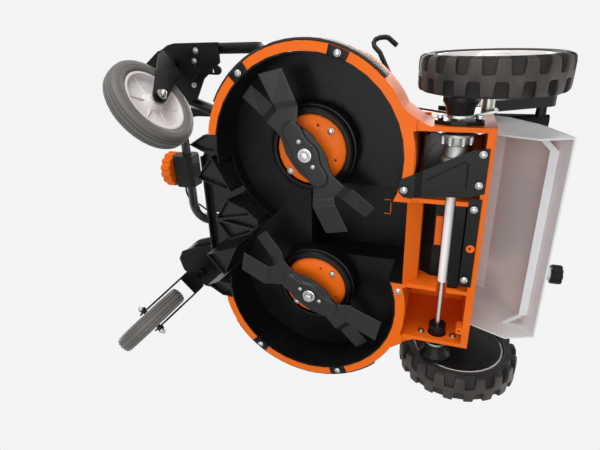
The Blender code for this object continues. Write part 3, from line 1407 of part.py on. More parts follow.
def bow_path(side):
    corners = [
        (side * REAR_FOOT_X, REAR_FOOT_Y, PLATE_TOP + FOOT_HEIGHT),
        (side * (BOW_OUT - 0.013), REAR_FOOT_Y - 0.070, PLATE_TOP + 3 * FOOT_HEIGHT),
        (side * BOW_OUT, REAR_FOOT_Y - 0.140, BOW_Z),
        (side * BOW_OUT, CASTER_Y - 0.0293, BOW_Z),
        (side * (CASTER_X - 0.0366), CASTER_Y - 0.0663, BOW_Z),
        (side * (CASTER_X - 0.0846), CASTER_Y - 0.0093, BOW_Z),
        (side * (FOOT_X + 0.004), CASTER_Y + 0.1057, BOW_Z - 0.004),
        (side * FOOT_X, FOOT_Y - 0.047, PLATE_TOP + 4.5 * FOOT_HEIGHT),
        (side * FOOT_X, FOOT_Y, PLATE_TOP + FOOT_HEIGHT),
    ]
    return rounded(corners, BOW_BEND, 3)


def front_bow(word, side):
    """Bent tube that reaches forward from the deck and carries a caster."""
    bow = tube("front_bow_" + word, bow_path(side), BOW_TUBE_R, resolution=2)
    for x, y, spread in ((REAR_FOOT_X, REAR_FOOT_Y, 0.00525), (FOOT_X, FOOT_Y, 0.00125)):
        foot_top = (side * x, y, PLATE_TOP + FOOT_HEIGHT + 0.002)
        foot = rod("foot", BOW_TUBE_R + spread, (side * x, y, PLATE_TOP + GAP), foot_top, 16)
        join(bow, foot)
    bow.data.materials.append(material(BLACK_STEEL))
    return smooth(bow, 50)


def caster_bracket(word, side):
    """Plate under the bow with the upright sleeve that takes the caster's bush."""
    # Plan of the plate, measured from the stem
    around = [
        (0.0474, 0.1297), (0.0474, 0.0057), (0.0314, -0.0363), (-0.0006, -0.0663), (-0.0366, -0.0763),
        (-0.0626, -0.0623), (-0.0766, -0.0293), (-0.0936, 0.0257), (-0.0866, 0.0537), (-0.0366, 0.0807),
        (0.0014, 0.1297),
    ]
    outline = [(side * (CASTER_X + x), CASTER_Y + y) for x, y in around]
    top = BRACKET_LOW + BRACKET_THICK
    plate = prism("caster_bracket_" + word, outline, BRACKET_LOW, top)
    bore = STEM_R + RUN + BUSH_WALL + RUN
    sleeve = lathe(
        "sleeve",
        [(bore, BRACKET_LOW + 0.0005), (bore + BRACKET_SLEEVE_WALL, BRACKET_LOW + 0.0005),
         (bore + BRACKET_SLEEVE_WALL, BRACKET_SLEEVE_TOP), (bore, BRACKET_SLEEVE_TOP)],
        (side * CASTER_X, CASTER_Y, 0), steps=16,
    )
    stem = (side * CASTER_X, CASTER_Y)
    cut(plate, rod("bore", bore + 0.0015, (*stem, BRACKET_LOW - 0.02), (*stem, top + 0.02), 16))
    join(plate, sleeve)
    for x, y in ((0.0329, 0.0507), (-0.0366, 0.0537), (-0.0366, -0.0643)):
        join(plate, screw_head(side * (CASTER_X + x), CASTER_Y + y, BRACKET_LOW))
    plate.data.materials.append(material(BLACK_STEEL))
    return smooth(plate, 40)


def caster_bush(word, side):
    """Notched bush: it slides in the sleeve to set the height, and the stem swivels in it."""
    inner = STEM_R + RUN
    outer = inner + BUSH_WALL
    low = CROWN_TOP + GAP
    profile = [(inner, low), (outer + 0.004, low), (outer + 0.004, low + 0.004), (outer, low + 0.004)]
    notch = CROWN_TOP + 0.035
    profile += [(outer, notch), (outer - 0.0012, notch + 0.001), (outer - 0.0012, notch + 0.008)]
    profile.append((outer, notch + 0.009))
    profile += [(outer, BUSH_TOP), (inner, BUSH_TOP)]
    return lathe("caster_bush_" + word, profile, (side * CASTER_X, CASTER_Y, 0), steps=14, finish=BLACK_STEEL)


def caster_frame(side, turn):
    """Matrix from the caster's own frame, +X along its trail, to the mower's."""
    return Matrix.Translation((side * CASTER_X, CASTER_Y, 0)) @ Matrix.Rotation(turn, 4, "Z")


def caster_fork(word, side, turn):
    """Pressed fork: crown, two tapering arms, axle bolt and the stem above."""
    half = CASTER_WIDTH / 2 + FORK_CLEAR
    t = CASTER_TRAIL
    crown = prism(
        "caster_fork_" + word,
        [(-0.024, -half + 0.004), (-0.018, -half - FORK_THICK), (0.052, -half - FORK_THICK),
         (0.052, half + FORK_THICK),
         (-0.018, half + FORK_THICK), (-0.024, half - 0.004)],
        CROWN_LOW, CROWN_TOP,
    )
    clear_top = (0.06, half + 0.0005, CROWN_TOP + 0.01)
    cut(crown, block("tyre_clear", (0.020, -half - 0.0005, CROWN_LOW - 0.01), clear_top))
    rounds = [((t, CASTER_R), 0.016), ((0.004, CROWN_LOW - 0.004), 0.020),
    ((0.038, CROWN_LOW - 0.002), 0.012)]
    arm_outline = blend_outline(rounds)
    for sign in (1, -1):
        near = sign * half
        far = sign * (half + FORK_THICK + 0.0006)
        arm = prism("arm", arm_outline, near, far, axis="y")
        join(crown, arm)
        head = rod("head", 0.0095, (t, far - sign * 0.001, CASTER_R), (t, far + sign * 0.007, CASTER_R), 6)
        join(crown, head)
    join(crown, rod("axle", CASTER_AXLE_R, (t, -half - 0.002, CASTER_R), (t, half + 0.002, CASTER_R), 12))
    stem = lathe(
        "stem",
        [(0, CROWN_LOW + 0.002), (STEM_R, CROWN_LOW + 0.002), (STEM_R, BUSH_TOP + 2 * GAP),
         (STEM_HEAD_R, BUSH_TOP + 2 * GAP), (STEM_HEAD_R, BUSH_TOP + STEM_HEAD), (0, BUSH_TOP + STEM_HEAD)],
        (0, 0, 0), steps=16,
    )
    join(crown, stem)
    crown.data.transform(caster_frame(side, turn))
    crown.data.materials.append(material(BLACK_STEEL))
    return smooth(crown, 40)


def caster_tyre(word, side, turn):
    """Solid tyre with a crowned tread."""
    half = CASTER_WIDTH / 2
    r = CASTER_R
    bead = CASTER_RIM_R + GAP
    outer = [
        (bead, half - 0.004), (bead + 0.006, half), (r - 0.010, half - 0.001), (r - 0.003, half - 0.006),
        (r, half - 0.013),
    ]
    profile = outer + [(radius, -along) for radius, along in reversed(outer)]
    tyre = lathe("caster_tyre_" + word, profile, (CASTER_TRAIL, 0, r), axis="y", steps=CASTER_STEPS)
    tyre.data.transform(caster_frame(side, turn))
    tyre.data.materials.append(material(CASTER_RUBBER))
    return smooth(tyre, 30)


def caster_rim(word, side, turn):
    """Moulded wheel: hub, web with pockets on both sides, and an outer band."""
    half = CASTER_WIDTH / 2
    edge = CASTER_RIM_R
    bore = CASTER_AXLE_R + RUN
    face = [
        (bore, half + 0.001), (0.015, half + 0.001), (0.018, 0.004), (edge - 0.012, 0.004),
        (edge - 0.004, half - 0.004),
        (edge, half - 0.004),
    ]
    profile = face + [(radius, -along) for radius, along in reversed(face)]
    rim = lathe("caster_rim_" + word, profile, (CASTER_TRAIL, 0, CASTER_R), axis="y", steps=CASTER_STEPS)
    ribs = []
    count = 4
    for i in range(count):
        spoke = block("spoke", (0.0145, -0.017, -0.0022), (edge - 0.006, 0.017, 0.0022))
        turned = Matrix.Rotation(2 * math.pi * i / count, 4, "Y")
        spoke.data.transform(Matrix.Translation((CASTER_TRAIL, 0, CASTER_R)) @ turned)
        ribs.append(spoke)
    join(rim, gathered("spokes", ribs))
    rim.data.transform(caster_frame(side, turn))
    rim.data.materials.append(material(RIM_GREY))
    return smooth(rim, 30)


def detent_lever(word, side):
    """Flat spring lever that locks the bush's height."""
    x = side * DETENT_X
    front = CASTER_Y + DETENT_PIVOT - 0.004
    rear = front + DETENT_LENGTH
    half = DETENT_WIDTH / 2
    outline = [(x - half * 0.7, front), (x + half * 0.7, front)]
    outline += arc((x, rear - half), half, 0, 180, 6)
    high = BRACKET_LOW - DETENT_DROP
    lever = prism("detent_lever_" + word, outline, high - 0.004, high)
    slot = block("slot", (x - 0.006, rear - 0.024, high - 0.01), (x + 0.006, rear - 0.020, high + 0.01))
    cut(lever, slot)
    y, z = detent_pivot()
    join(lever, rod("barrel", 0.0042, (x - 0.012, y, z), (x + 0.012, y, z), 12))
    lever.data.materials.append(material(BLACK_STEEL))
    return lever


def detent_pivot():
    return CASTER_Y + DETENT_PIVOT, BRACKET_LOW - DETENT_DROP


def flap_line(inset=0.0):
    """The flap's outer side in (y, z), from hinge to rim."""
    return [
        (FLAP_HINGE_Y - 0.002, FLAP_HINGE_Z + 0.006 - inset),
        (FLAP_HINGE_Y + FLAP_CREASE - inset * 0.4, FLAP_HINGE_Z - FLAP_CREASE_DROP - inset),
        (FLAP_HINGE_Y + FLAP_WAIST - inset, FLAP_HINGE_Z - FLAP_WAIST_DROP - inset * 0.4),
        (FLAP_HINGE_Y + FLAP_RIM - inset, FLAP_HINGE_Z - FLAP_RIM_DROP),
    ]


def rear_flap():
    """Moulded deflector flap: sloping back, side walls, folded rim and an inner stiffening frame."""
    outer = flap_line()
    inner = flap_line(FLAP_WALL)
    skin = prism("rear_flap", outer + inner[::-1], -FLAP_HALF, FLAP_HALF, axis="x")
    back = [(y, z) for y, z in flap_line(0.0006)[1:]]
    side_outline = [
        (FLAP_HINGE_Y + FLAP_SIDE, FLAP_HINGE_Z - FLAP_CREASE_DROP * 1.75),
        (FLAP_HINGE_Y + FLAP_SIDE, FLAP_HINGE_Z - FLAP_SIDE_DROP),
        (FLAP_HINGE_Y + FLAP_CHIN, FLAP_HINGE_Z - FLAP_CHIN_DROP),
        (FLAP_HINGE_Y + FLAP_RIM - 0.002, FLAP_HINGE_Z - FLAP_RIM_DROP),
    ] + back[1::-1] + [(FLAP_HINGE_Y + FLAP_SIDE + 0.003, FLAP_HINGE_Z - 0.0125)]
    for _, side in SIDES:
        outer = FLAP_HALF - 0.0005
        wall = prism("wall", side_outline, side * (outer - FLAP_WALL), side * outer, axis="x")
        join(skin, wall)
    # Frame inside the rim, with chamfered corners
    frame_y = FLAP_HINGE_Y + FLAP_RIM - FLAP_FRAME
    frame_z = FLAP_HINGE_Z - FLAP_RIM_DROP + FLAP_FRAME_RISE
    reach = FLAP_HALF - FLAP_FRAME_CORNER
    end = FLAP_HALF - 0.001
    for side in (1, -1):
        corner = loft(
            "corner",
            [
                [(side * reach, frame_y, frame_z), (side * reach, frame_y - 0.012, frame_z - 0.003),
                 (side * reach, frame_y - 0.011, frame_z - 0.007),
                 (side * reach, frame_y + 0.002, frame_z - 0.004)],
                [(side * end, frame_y - 0.030, frame_z + 0.004),
                 (side * end, frame_y - 0.042, frame_z + 0.001),
                 (side * end, frame_y - 0.041, frame_z - 0.003), (side * end, frame_y - 0.028, frame_z)],
            ],
        )
        join(skin, corner)
    bar = prism(
        "frame_bar",
        [(frame_y + 0.006, frame_z), (frame_y - 0.012, frame_z - 0.003), (frame_y - 0.011, frame_z - 0.007),
         (frame_y + 0.007, frame_z - 0.004)],
        -reach - 0.0005, reach + 0.0005, axis="x",
    )
    join(skin, bar)
    hinge = (FLAP_HINGE_Y, FLAP_HINGE_Z)
    join(skin, rod("barrel", FLAP_BARREL_R, (-FLAP_HALF, *hinge), (FLAP_HALF, *hinge), 14))
    for _, side in SIDES:
        pin_end = (side * (FLAP_HALF + FLAP_PIN), *hinge)
        join(skin, rod("pin", FLAP_PIN_R, (side * (FLAP_HALF - 0.002), *hinge), pin_end, 12))
    skin.data.materials.append(material(WHITE))
    return smooth(skin, 30)


def handle_console():
    """Bridge on the rear box with two raked cheeks: they hold the handlebar and the flap."""
    low = BOX_TOP + GAP
    bridge_end = CONSOLE_OUT - 0.001
    base = block(
        "handle_console", (-bridge_end, CONSOLE_FRONT + 0.010, low),
        (bridge_end, CONSOLE_REAR - 0.030, low + CONSOLE_BASE),
    )
    for _, side in SIDES:
        outline = [(CONSOLE_FRONT, low + 0.0004), (CONSOLE_REAR, low + 0.0004)]
        outline += [(FLAP_HINGE_Y + 0.020, FLAP_HINGE_Z - 0.010),
                    (FLAP_HINGE_Y + 0.030, FLAP_HINGE_Z + 0.016)]
        outline += arc((PIVOT_Y, PIVOT_Z), CONSOLE_HEAD_R, -50, 130, 8)
        outline += [(CONSOLE_FRONT + 0.028, FLAP_HINGE_Z + 0.032)]
        cheek = prism("cheek", outline, side * CONSOLE_IN, side * CONSOLE_OUT, axis="x")
        join(base, cheek)
        near = (side * (CONSOLE_IN - 0.01), PIVOT_Y, PIVOT_Z)
        far = (side * (CONSOLE_OUT + 0.01), PIVOT_Y, PIVOT_Z)
        cut(base, rod("pivot_hole", PIVOT_BOLT_R + RUN, near, far, 16))
        # The flap's pins sit in blind holes
        pin_hole = rod(
            "pin_hole", FLAP_PIN_R + RUN, (side * (CONSOLE_IN - 0.01), FLAP_HINGE_Y, FLAP_HINGE_Z),
            (side * (FLAP_HALF + FLAP_PIN + 0.0015), FLAP_HINGE_Y, FLAP_HINGE_Z), 12,
        )
        cut(base, pin_hole)
    base.data.materials.append(material(BLACK))
    return smooth(base, 30)


def lock_post():
    """Pale sleeve behind the right cheek, which carries the handle's lock knob."""
    start = PIVOT_Y + CONSOLE_HEAD_R + GAP
    profile = [
        (0, start), (POST_R + 0.002, start), (POST_R + 0.002, start + 0.008), (POST_R, start + 0.010),
        (POST_R, POST_REAR),
        (0, POST_REAR),
    ]
    return lathe("lock_post", profile, (POST_X, 0, PIVOT_Z), axis="y", steps=24, finish=WHITE)


def fluted(name, radius, centre, start, end, flutes, depth, axis, finish):
    """A knob with rounded flutes round its rim, along an axis from start to end."""
    outline = []
    for i in range(flutes):
        for share, cut_in in ((0.0, 0), (0.42, 0), (0.58, depth), (0.86, depth)):
            angle = 2 * math.pi * (i + share) / flutes
            outline.append(((radius - cut_in) * math.cos(angle), (radius - cut_in) * math.sin(angle)))
    sign = 1 if end > start else -1
    chamfer = sign * min(0.003, abs(end - start) / 4)
    sections = []
    for along, scale in ((start, 0.94), (start + chamfer, 1.0), (end - chamfer, 1.0), (end, 0.90)):
        section = []
        for u, v in outline:
            if axis == "y":
                section.append((centre[0] + u * scale, along, centre[1] + v * scale))
            else:
                section.append((along, centre[0] + u * scale, centre[1] + v * scale))
        sections.append(section)
    return loft(name, sections, finish)


def lock_knob():
    start = POST_REAR + GAP
    return fluted("lock_knob", KNOB_R, (POST_X, PIVOT_Z), start, start + KNOB_LENGTH, 8, 0.003, "y", BLACK)


def handlebar():
    """U-shaped tube, folded forward over the machine."""
    rear = PIVOT_Y + 0.018
    corners = [
        (BAR_HALF, rear, PIVOT_Z),
        (BAR_HALF, PIVOT_Y - 0.12, PIVOT_Z),
        (BAR_HALF, BAR_FRONT, BAR_FRONT_Z),
        (-BAR_HALF, BAR_FRONT, BAR_FRONT_Z),
        (-BAR_HALF, PIVOT_Y - 0.12, PIVOT_Z),
        (-BAR_HALF, rear, PIVOT_Z),
    ]
    path = [Vector(corners[0]), Vector(corners[1])]
    path += rounded([corners[1], corners[2], corners[3], corners[4]], BAR_BEND, 6)[1:]
    path.append(Vector(corners[5]))
    bar = tube("handlebar", path, BAR_R)
    for _, side in SIDES:
        pivot = (PIVOT_Y, PIVOT_Z)
        bolt_end = (side * (CONSOLE_OUT + 0.004), *pivot)
        bolt = rod("bolt", PIVOT_BOLT_R, (side * (BAR_HALF - 0.018), *pivot), bolt_end, 14)
        spacer_end = (side * (CONSOLE_IN - GAP), *pivot)
        spacer = rod("spacer", PIVOT_BOLT_R + 0.005, (side * BAR_HALF, *pivot), spacer_end, 14)
        join(bar, bolt, spacer)
    bar.data.materials.append(material(BLACK_STEEL))
    return smooth(bar, 50)


def control_housing():
    """Split housing clamped on the middle of the handlebar."""
    x0, x1 = CONTROL_X - CONTROL_HALF, CONTROL_X + CONTROL_HALF
    y, z = BAR_FRONT, BAR_FRONT_Z
    sections = []
    for x, grow in ((x0, -0.004), (x0 + 0.006, 0.0), (x1 - 0.006, 0.0), (x1, -0.004)):
        sections.append(
            [(x, y + a * (1 + grow * 10), z + b * (1 + grow * 10))
             for a, b in ((-0.038, -0.020), (-0.038, 0.022), (-0.024, 0.036), (0.014, 0.036), (0.026, 0.022),
                          (0.026, -0.018), (0.014, -0.030), (-0.026, -0.030))]
        )
    made = loft("control_housing", sections)
    cut(made, rod("bore", BAR_R + GAP, (x0 - 0.01, y, z), (x1 + 0.01, y, z), 24))
    made.data.materials.append(material(BLACK))
    return made


def speed_dial():
    start = BAR_FRONT - 0.038 - GAP
    centre = (CONTROL_X, BAR_FRONT_Z + 0.002)
    return fluted("speed_dial", DIAL_R, centre, start, start - DIAL_THICK, 14, 0.0045, "y", ORANGE)


def control_cable():
    """Cable from the control housing, round the bend and along the inside of the right leg."""
    x = -BAR_HALF + BAR_R + CABLE_R + 0.0015
    start = CONTROL_X - CONTROL_HALF - 4 * GAP
    run = start - x
    front, z = BAR_FRONT, BAR_FRONT_Z
    route = [
        (start, front - 0.0185, z),
        (start - 0.22 * run, front - 0.021, z),
        (start - 0.49 * run, front - 0.020, z + 0.008),
        (x + 0.028, front - 0.008, z + 0.019),
        (x + 0.017, front + 0.012, z + 0.021),
        (x + 0.007, front + 0.040, z + 0.012),
        (x + 0.001, front + 0.085, z + 0.002),
        (x, front + 0.130, z),
        (x, 0.0, z - 0.002),
        (x, CABLE_END, z - 0.003),
    ]
    return tube("control_cable", smooth_route(route, 3), CABLE_R, BLACK, resolution=2)


def smooth_route(points, steps):
    """Points along a smooth curve through the given ones."""
    points = [Vector(point) for point in points]
    line = []
    for i in range(len(points) - 1):
        p0 = points[max(i - 1, 0)]
        p1, p2 = points[i], points[i + 1]
        p3 = points[min(i + 2, len(points) - 1)]
        for step in range(steps):
            t = step / steps
            bend = 2 * p0 - 5 * p1 + 4 * p2 - p3
            twist = 3 * p1 - p0 - 3 * p2 + p3
            line.append(0.5 * (2 * p1 + (p2 - p0) * t + bend * t * t + twist * t**3))
    line.append(points[-1])
    return line


def stop_bail():
    """Wire bail over the front of the handlebar: held against it, it lets the blades run."""
    y, z = BAIL_PIVOT_Y, bail_pivot_z()
    corners = [
        (BAR_HALF, y, z),
        (BAR_HALF, BAR_FRONT - 0.024, BAR_FRONT_Z + 0.042),
        (-BAR_HALF, BAR_FRONT - 0.024, BAR_FRONT_Z + 0.042),
        (-BAR_HALF, y, z),
    ]
    bail = tube("stop_bail", rounded(corners, 0.040, 4), BAIL_R, resolution=1)
    for _, side in SIDES:
        eye_end = (side * (BAR_HALF + 0.006), y, z)
        join(bail, rod("eye", 0.0065, (side * (BAR_HALF - 0.006), y, z), eye_end, 12))
    bail.data.materials.append(material(BLACK_STEEL))
    return smooth(bail, 50)


def bail_pivot_z():
    return BAR_FRONT_Z + BAR_R + 0.0085


def group(name, place, things, parent=None):
    """An empty on a joint's axis that carries the pieces which move with it."""
    pivot = bpy.data.objects.new(name, None)
    bpy.context.scene.collection.objects.link(pivot)
    pivot.location = place
    pivot.empty_display_size = 0.03
    bpy.context.view_layer.update()
    if parent:
        pivot.parent = parent
        pivot.matrix_parent_inverse = parent.matrix_world.inverted()
        bpy.context.view_layer.update()
    for thing in things:
        thing.parent = pivot
        thing.matrix_parent_inverse = pivot.matrix_world.inverted()
    return pivot


def main():
    clear_scene()
    mower = group("mower", (0, 0, 0), [])
    fixed = [
        deck_housing(), deck_liner(), discharge_chute(), front_guard(), top_shroud(), battery_pack(), blade_motor(),
        timing_belt(), gearbox(), drive_motor(), guard_plate(), cover_strip(), shaft_sleeve(), handle_console(),
        lock_post(),
    ]
    for word, side in SIDES:
        fixed += [edge_guard(word, side), spindle_flange(word, side), bearing_flange(word, side)]
        fixed += [front_bow(word, side), caster_bracket(word, side)]
    group("deck", (0, 0, 0), fixed, mower)
    blade_turns = {"left": BLADE_LEFT_TURN, "right": BLADE_RIGHT_TURN}
    caster_turns = {"left": CASTER_LEFT_TURN, "right": CASTER_RIGHT_TURN}
    for word, side in SIDES:
        group("blade_axis_" + word, (side * BLADE_X, 0, BLADE_LOW),
              [blade(word, side, blade_turns[word]), spindle(word, side)], mower)
        swing = group("height_axis_" + word, (side * CARRIER_IN, SHAFT_Y, SHAFT_Z),
                      [carrier(word, side), gear_cover(word, side)], mower)
        group("rear_wheel_axis_" + word, (side * (WHEEL_IN + WHEEL_WIDTH / 2), WHEEL_Y, WHEEL_R),
              [rear_tyre(word, side), rear_rim(word, side)], swing)
        turn = caster_turns[word]
        stem = (side * CASTER_X, CASTER_Y, CROWN_TOP)
        rise = group("caster_height_" + word, stem, [caster_bush(word, side)], mower)
        swivel = group("caster_axis_" + word, stem, [caster_fork(word, side, turn)], rise)
        hub = caster_frame(side, turn) @ Vector((CASTER_TRAIL, 0, CASTER_R))
        wheel = [caster_tyre(word, side, turn), caster_rim(word, side, turn)]
        group("caster_wheel_axis_" + word, hub, wheel, swivel)
        y, z = detent_pivot()
        group("detent_axis_" + word, (side * DETENT_X, y, z), [detent_lever(word, side)], mower)
    group("motor_axis", (SMALL_PULLEY_X, -SMALL_PULLEY_Y, BELT_LOW),
          [small_pulley("motor_pulley", -SMALL_PULLEY_Y, BELT_LOW + BELT_WIDTH + 0.012)], mower)
    group("idler_axis", (SMALL_PULLEY_X, SMALL_PULLEY_Y, BELT_LOW),
          [small_pulley("idler_pulley", SMALL_PULLEY_Y, BELT_LOW + BELT_WIDTH + 0.012)], mower)
    group("shaft_axis", (0, SHAFT_Y, SHAFT_Z), [drive_shaft()], mower)
    group("lever_axis", (CARRIER_IN, LEVER_Y, LEVER_Z), [height_lever()], mower)
    pin = (CARRIER_IN, SHAFT_Y + LEVER_ARM * math.cos(PIN_ANGLE), SHAFT_Z + LEVER_ARM * math.sin(PIN_ANGLE))
    group("link_axis", pin, [link_rod()], bpy.data.objects["height_axis_left"])
    y, z = lid_hinge()
    group("lid_axis", (0, y, z), [battery_lid()], mower)
    group("flap_axis", (0, FLAP_HINGE_Y, FLAP_HINGE_Z), [rear_flap()], mower)
    bar = group("handle_axis", (0, PIVOT_Y, PIVOT_Z), [handlebar(), control_housing(), control_cable()], mower)
    group("dial_axis", (CONTROL_X, BAR_FRONT, BAR_FRONT_Z + 0.002), [speed_dial()], bar)
    group("bail_axis", (0, BAIL_PIVOT_Y, bail_pivot_z()), [stop_bail()], bar)
    group("knob_axis", (POST_X, POST_REAR, PIVOT_Z), [lock_knob()], mower)
    # The origin is the middle of the footprint, on the ground
    bpy.context.view_layer.update()
    corners = [
        thing.matrix_world @ Vector(corner)
        for thing in bpy.data.objects
        if thing.type == "MESH"
        for corner in thing.bound_box
    ]
    low = [min(corner[i] for corner in corners) for i in range(3)]
    high = [max(corner[i] for corner in corners) for i in range(3)]
    mower.location = (-(low[0] + high[0]) / 2, -(low[1] + high[1]) / 2, -low[2])
    bpy.context.view_layer.update()
    size = [round(b - a, 4) for a, b in zip(low, high)]
    print("size", size, "moved by", [round(v, 6) for v in mower.location])


main()
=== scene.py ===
"""Dresses the cordless mower: finishes for its parts, the small pieces on them, and the stage."""

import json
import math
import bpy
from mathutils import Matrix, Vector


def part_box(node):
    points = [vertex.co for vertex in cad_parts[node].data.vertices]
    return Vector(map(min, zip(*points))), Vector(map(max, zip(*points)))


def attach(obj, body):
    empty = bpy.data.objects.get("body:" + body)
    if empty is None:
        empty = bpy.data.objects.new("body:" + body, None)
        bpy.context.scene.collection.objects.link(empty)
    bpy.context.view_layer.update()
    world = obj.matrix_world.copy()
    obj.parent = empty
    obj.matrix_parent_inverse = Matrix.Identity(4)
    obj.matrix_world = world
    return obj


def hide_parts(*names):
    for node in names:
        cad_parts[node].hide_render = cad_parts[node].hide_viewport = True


bl_info = {
    "name": "Cordless Mower Dressing",
    "version": (1, 1, 0),
    "blender": (4, 5, 0),
    "location": "View3D > Sidebar > Mower",
    "description": "Finishes, fasteners, tyres and trim for a twin-blade mower",
    "category": "Object",
}

import bmesh
import bpy
from mathutils import Matrix, Vector
from mathutils.bvhtree import BVHTree

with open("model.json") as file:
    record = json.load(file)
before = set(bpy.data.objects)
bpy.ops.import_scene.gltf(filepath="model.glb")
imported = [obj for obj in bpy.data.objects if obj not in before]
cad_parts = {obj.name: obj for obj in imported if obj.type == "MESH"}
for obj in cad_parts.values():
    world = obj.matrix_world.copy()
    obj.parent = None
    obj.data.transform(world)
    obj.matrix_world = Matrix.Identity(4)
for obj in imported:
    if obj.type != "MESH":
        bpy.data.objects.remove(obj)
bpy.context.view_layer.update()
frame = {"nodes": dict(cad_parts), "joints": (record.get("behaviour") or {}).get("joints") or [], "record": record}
SIDES = (("left", 1), ("right", -1))


def middle(node):
    """Middle of a node's box at rest."""
    low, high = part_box(node)
    return (Vector(low) + Vector(high)) / 2


# The layout is measured from the ground midway between the two spindles
SPINDLE = {word: middle("spindle_" + word) for word, _ in SIDES}
DATUM = (SPINDLE["left"] + SPINDLE["right"]) / 2
DATUM.z = 0.0


def at(x, y, z):
    return DATUM + Vector((x, y, z))


class Wire:
    """A shader socket that takes part in arithmetic."""

    def __init__(self, finish, socket):
        self.finish = finish
        self.socket = socket

    def maths(self, operation, *others):
        return self.finish.node("ShaderNodeMath", {"operation": operation}, self, *others)

    def __add__(self, other):
        return self.maths("ADD", other)

    __radd__ = __add__

    def __sub__(self, other):
        return self.maths("SUBTRACT", other)

    def __rsub__(self, other):
        return self.finish.node("ShaderNodeMath", {"operation": "SUBTRACT"}, other, self)

    def __mul__(self, other):
        return self.maths("MULTIPLY", other)

    __rmul__ = __mul__

    def __truediv__(self, other):
        return self.maths("DIVIDE", other)

    def clamped(self):
        settings = {"operation": "ADD", "use_clamp": True}
        return self.finish.node("ShaderNodeMath", settings, self, 0.0)

    def above(self, edge, soft=0.1):
        """Nought below an edge, one above it, with a soft step between."""
        return ((self - (edge - soft / 2)) / soft).clamped()


class Finish:
    """A material under construction."""

    def __init__(self, name, colour, roughness, metallic=0.0, **uniform):
        self.material = bpy.data.materials.new(name)
        self.material.use_nodes = True
        self.tree = self.material.node_tree
        self.shader = self.tree.nodes["Principled BSDF"]
        self.set("Base Color", colour)
        self.set("Roughness", roughness)
        self.set("Metallic", metallic)
        for key, value in uniform.items():
            self.set(key.replace("_", " "), value)
        self.place = self.node("ShaderNodeTexCoord", {}, output="Object")

    def put(self, socket, value):
        if isinstance(value, Wire):
            self.tree.links.new(value.socket, socket)
        elif socket.type == "RGBA":
            socket.default_value = (*value[:3], 1)
        else:
            socket.default_value = value

    def set(self, name, value):
        self.put(self.shader.inputs[name], value)

    def node(self, kind, settings, *values, output=0, **named):
        made = self.tree.nodes.new(kind)
        for key, value in settings.items():
            setattr(made, key, value)
        for socket, value in zip(made.inputs, values):
            self.put(socket, value)
        for key, value in named.items():
            self.put(made.inputs[key.replace("_", " ")], value)
        return Wire(self, made.outputs[output])

    def stretched(self, scale):
        return self.node("ShaderNodeMapping", {}, Vector=self.place, Scale=scale)

    def noise(self, scale, detail=4.0, rough=0.55, place=None):
        return self.node(
            "ShaderNodeTexNoise", {}, Vector=place or self.place, Scale=scale, Detail=detail,
            Roughness=rough,
        )

    def blend(self, factor, first, second):
        made = self.tree.nodes.new("ShaderNodeMix")
        made.data_type = "RGBA"
        self.put(made.inputs[0], factor)
        self.put(made.inputs[6], first)
        self.put(made.inputs[7], second)
        return Wire(self, made.outputs[2])

    def bump(self, height, depth):
        """Depth in metres that a height of one stands up."""
        relief = self.node("ShaderNodeBump", {}, Strength=1.0, Distance=depth, Height=height)
        self.set("Normal", relief)


def moulded(
    name, colour, roughness, grain=0.00002, dust=0.06, dust_colour=(0.30, 0.27, 0.24), specular=0.12
):
    """Moulded plastic: smooth with a faint waviness, and a trace of dust in patches."""
    f = Finish(name, colour, roughness, Specular_IOR_Level=specular)
    cloud = f.noise(7.0, 3.0)
    speck = f.noise(180.0, 2.0)
    dusty = cloud.above(0.56, 0.3) * speck.above(0.5, 0.3) * dust
    shade = f.noise(26.0, 2.0).above(0.5, 0.6) * 0.5
    deeper = f.blend(shade, colour, [c * 0.88 for c in colour])
    f.set("Base Color", f.blend(dusty, deeper, dust_colour))
    f.set("Roughness", cloud * 0.10 + (roughness - 0.05) + dusty * 0.8)
    f.bump(f.noise(34.0, 1.0) * 0.8 + f.noise(700.0, 1.0) * 0.2, grain)
    return f


def coated(name, colour, roughness, peel=0.00003, peel_scale=380.0, rub=0.06, specular=0.14):
    """Powder coat on steel: fine orange peel and a few greyer rubbed patches."""
    f = Finish(name, colour, roughness, Specular_IOR_Level=specular)
    cloud = f.noise(11.0, 4.0)
    rubbed = cloud.above(0.62, 0.2) * f.noise(95.0, 4.0, 0.7).above(0.5, 0.3) * rub
    f.set("Base Color", f.blend(rubbed, colour, (0.10, 0.095, 0.09)))
    f.set("Roughness", cloud * 0.14 + (roughness - 0.07))
    f.bump(f.noise(peel_scale, 2.0), peel)
    return f


def metal(
    name, colour, roughness, stretch=(1.0, 1.0, 1.0), grain=260.0, cloud_scale=30.0, depth=0.00002
):
    """Bare or plated metal, with a grain along one axis and a cloudy sheen."""
    f = Finish(name, colour, roughness, 1.0)
    cloud = f.noise(cloud_scale, 4.0)
    fine = f.noise(grain, 3.0, place=f.stretched(stretch))
    dull = cloud.above(0.5, 0.4) * 0.6
    f.set("Base Color", f.blend(dull, colour, [c * 0.74 for c in colour]))
    f.set("Roughness", cloud * 0.18 + fine * 0.10 + (roughness - 0.14))
    f.bump(fine, depth)
    return f


DRY_EARTH = (0.16, 0.13, 0.11)
# How far below the crown of a tyre the painted shade in its pockets is full
POCKET_SHADE = 0.0045


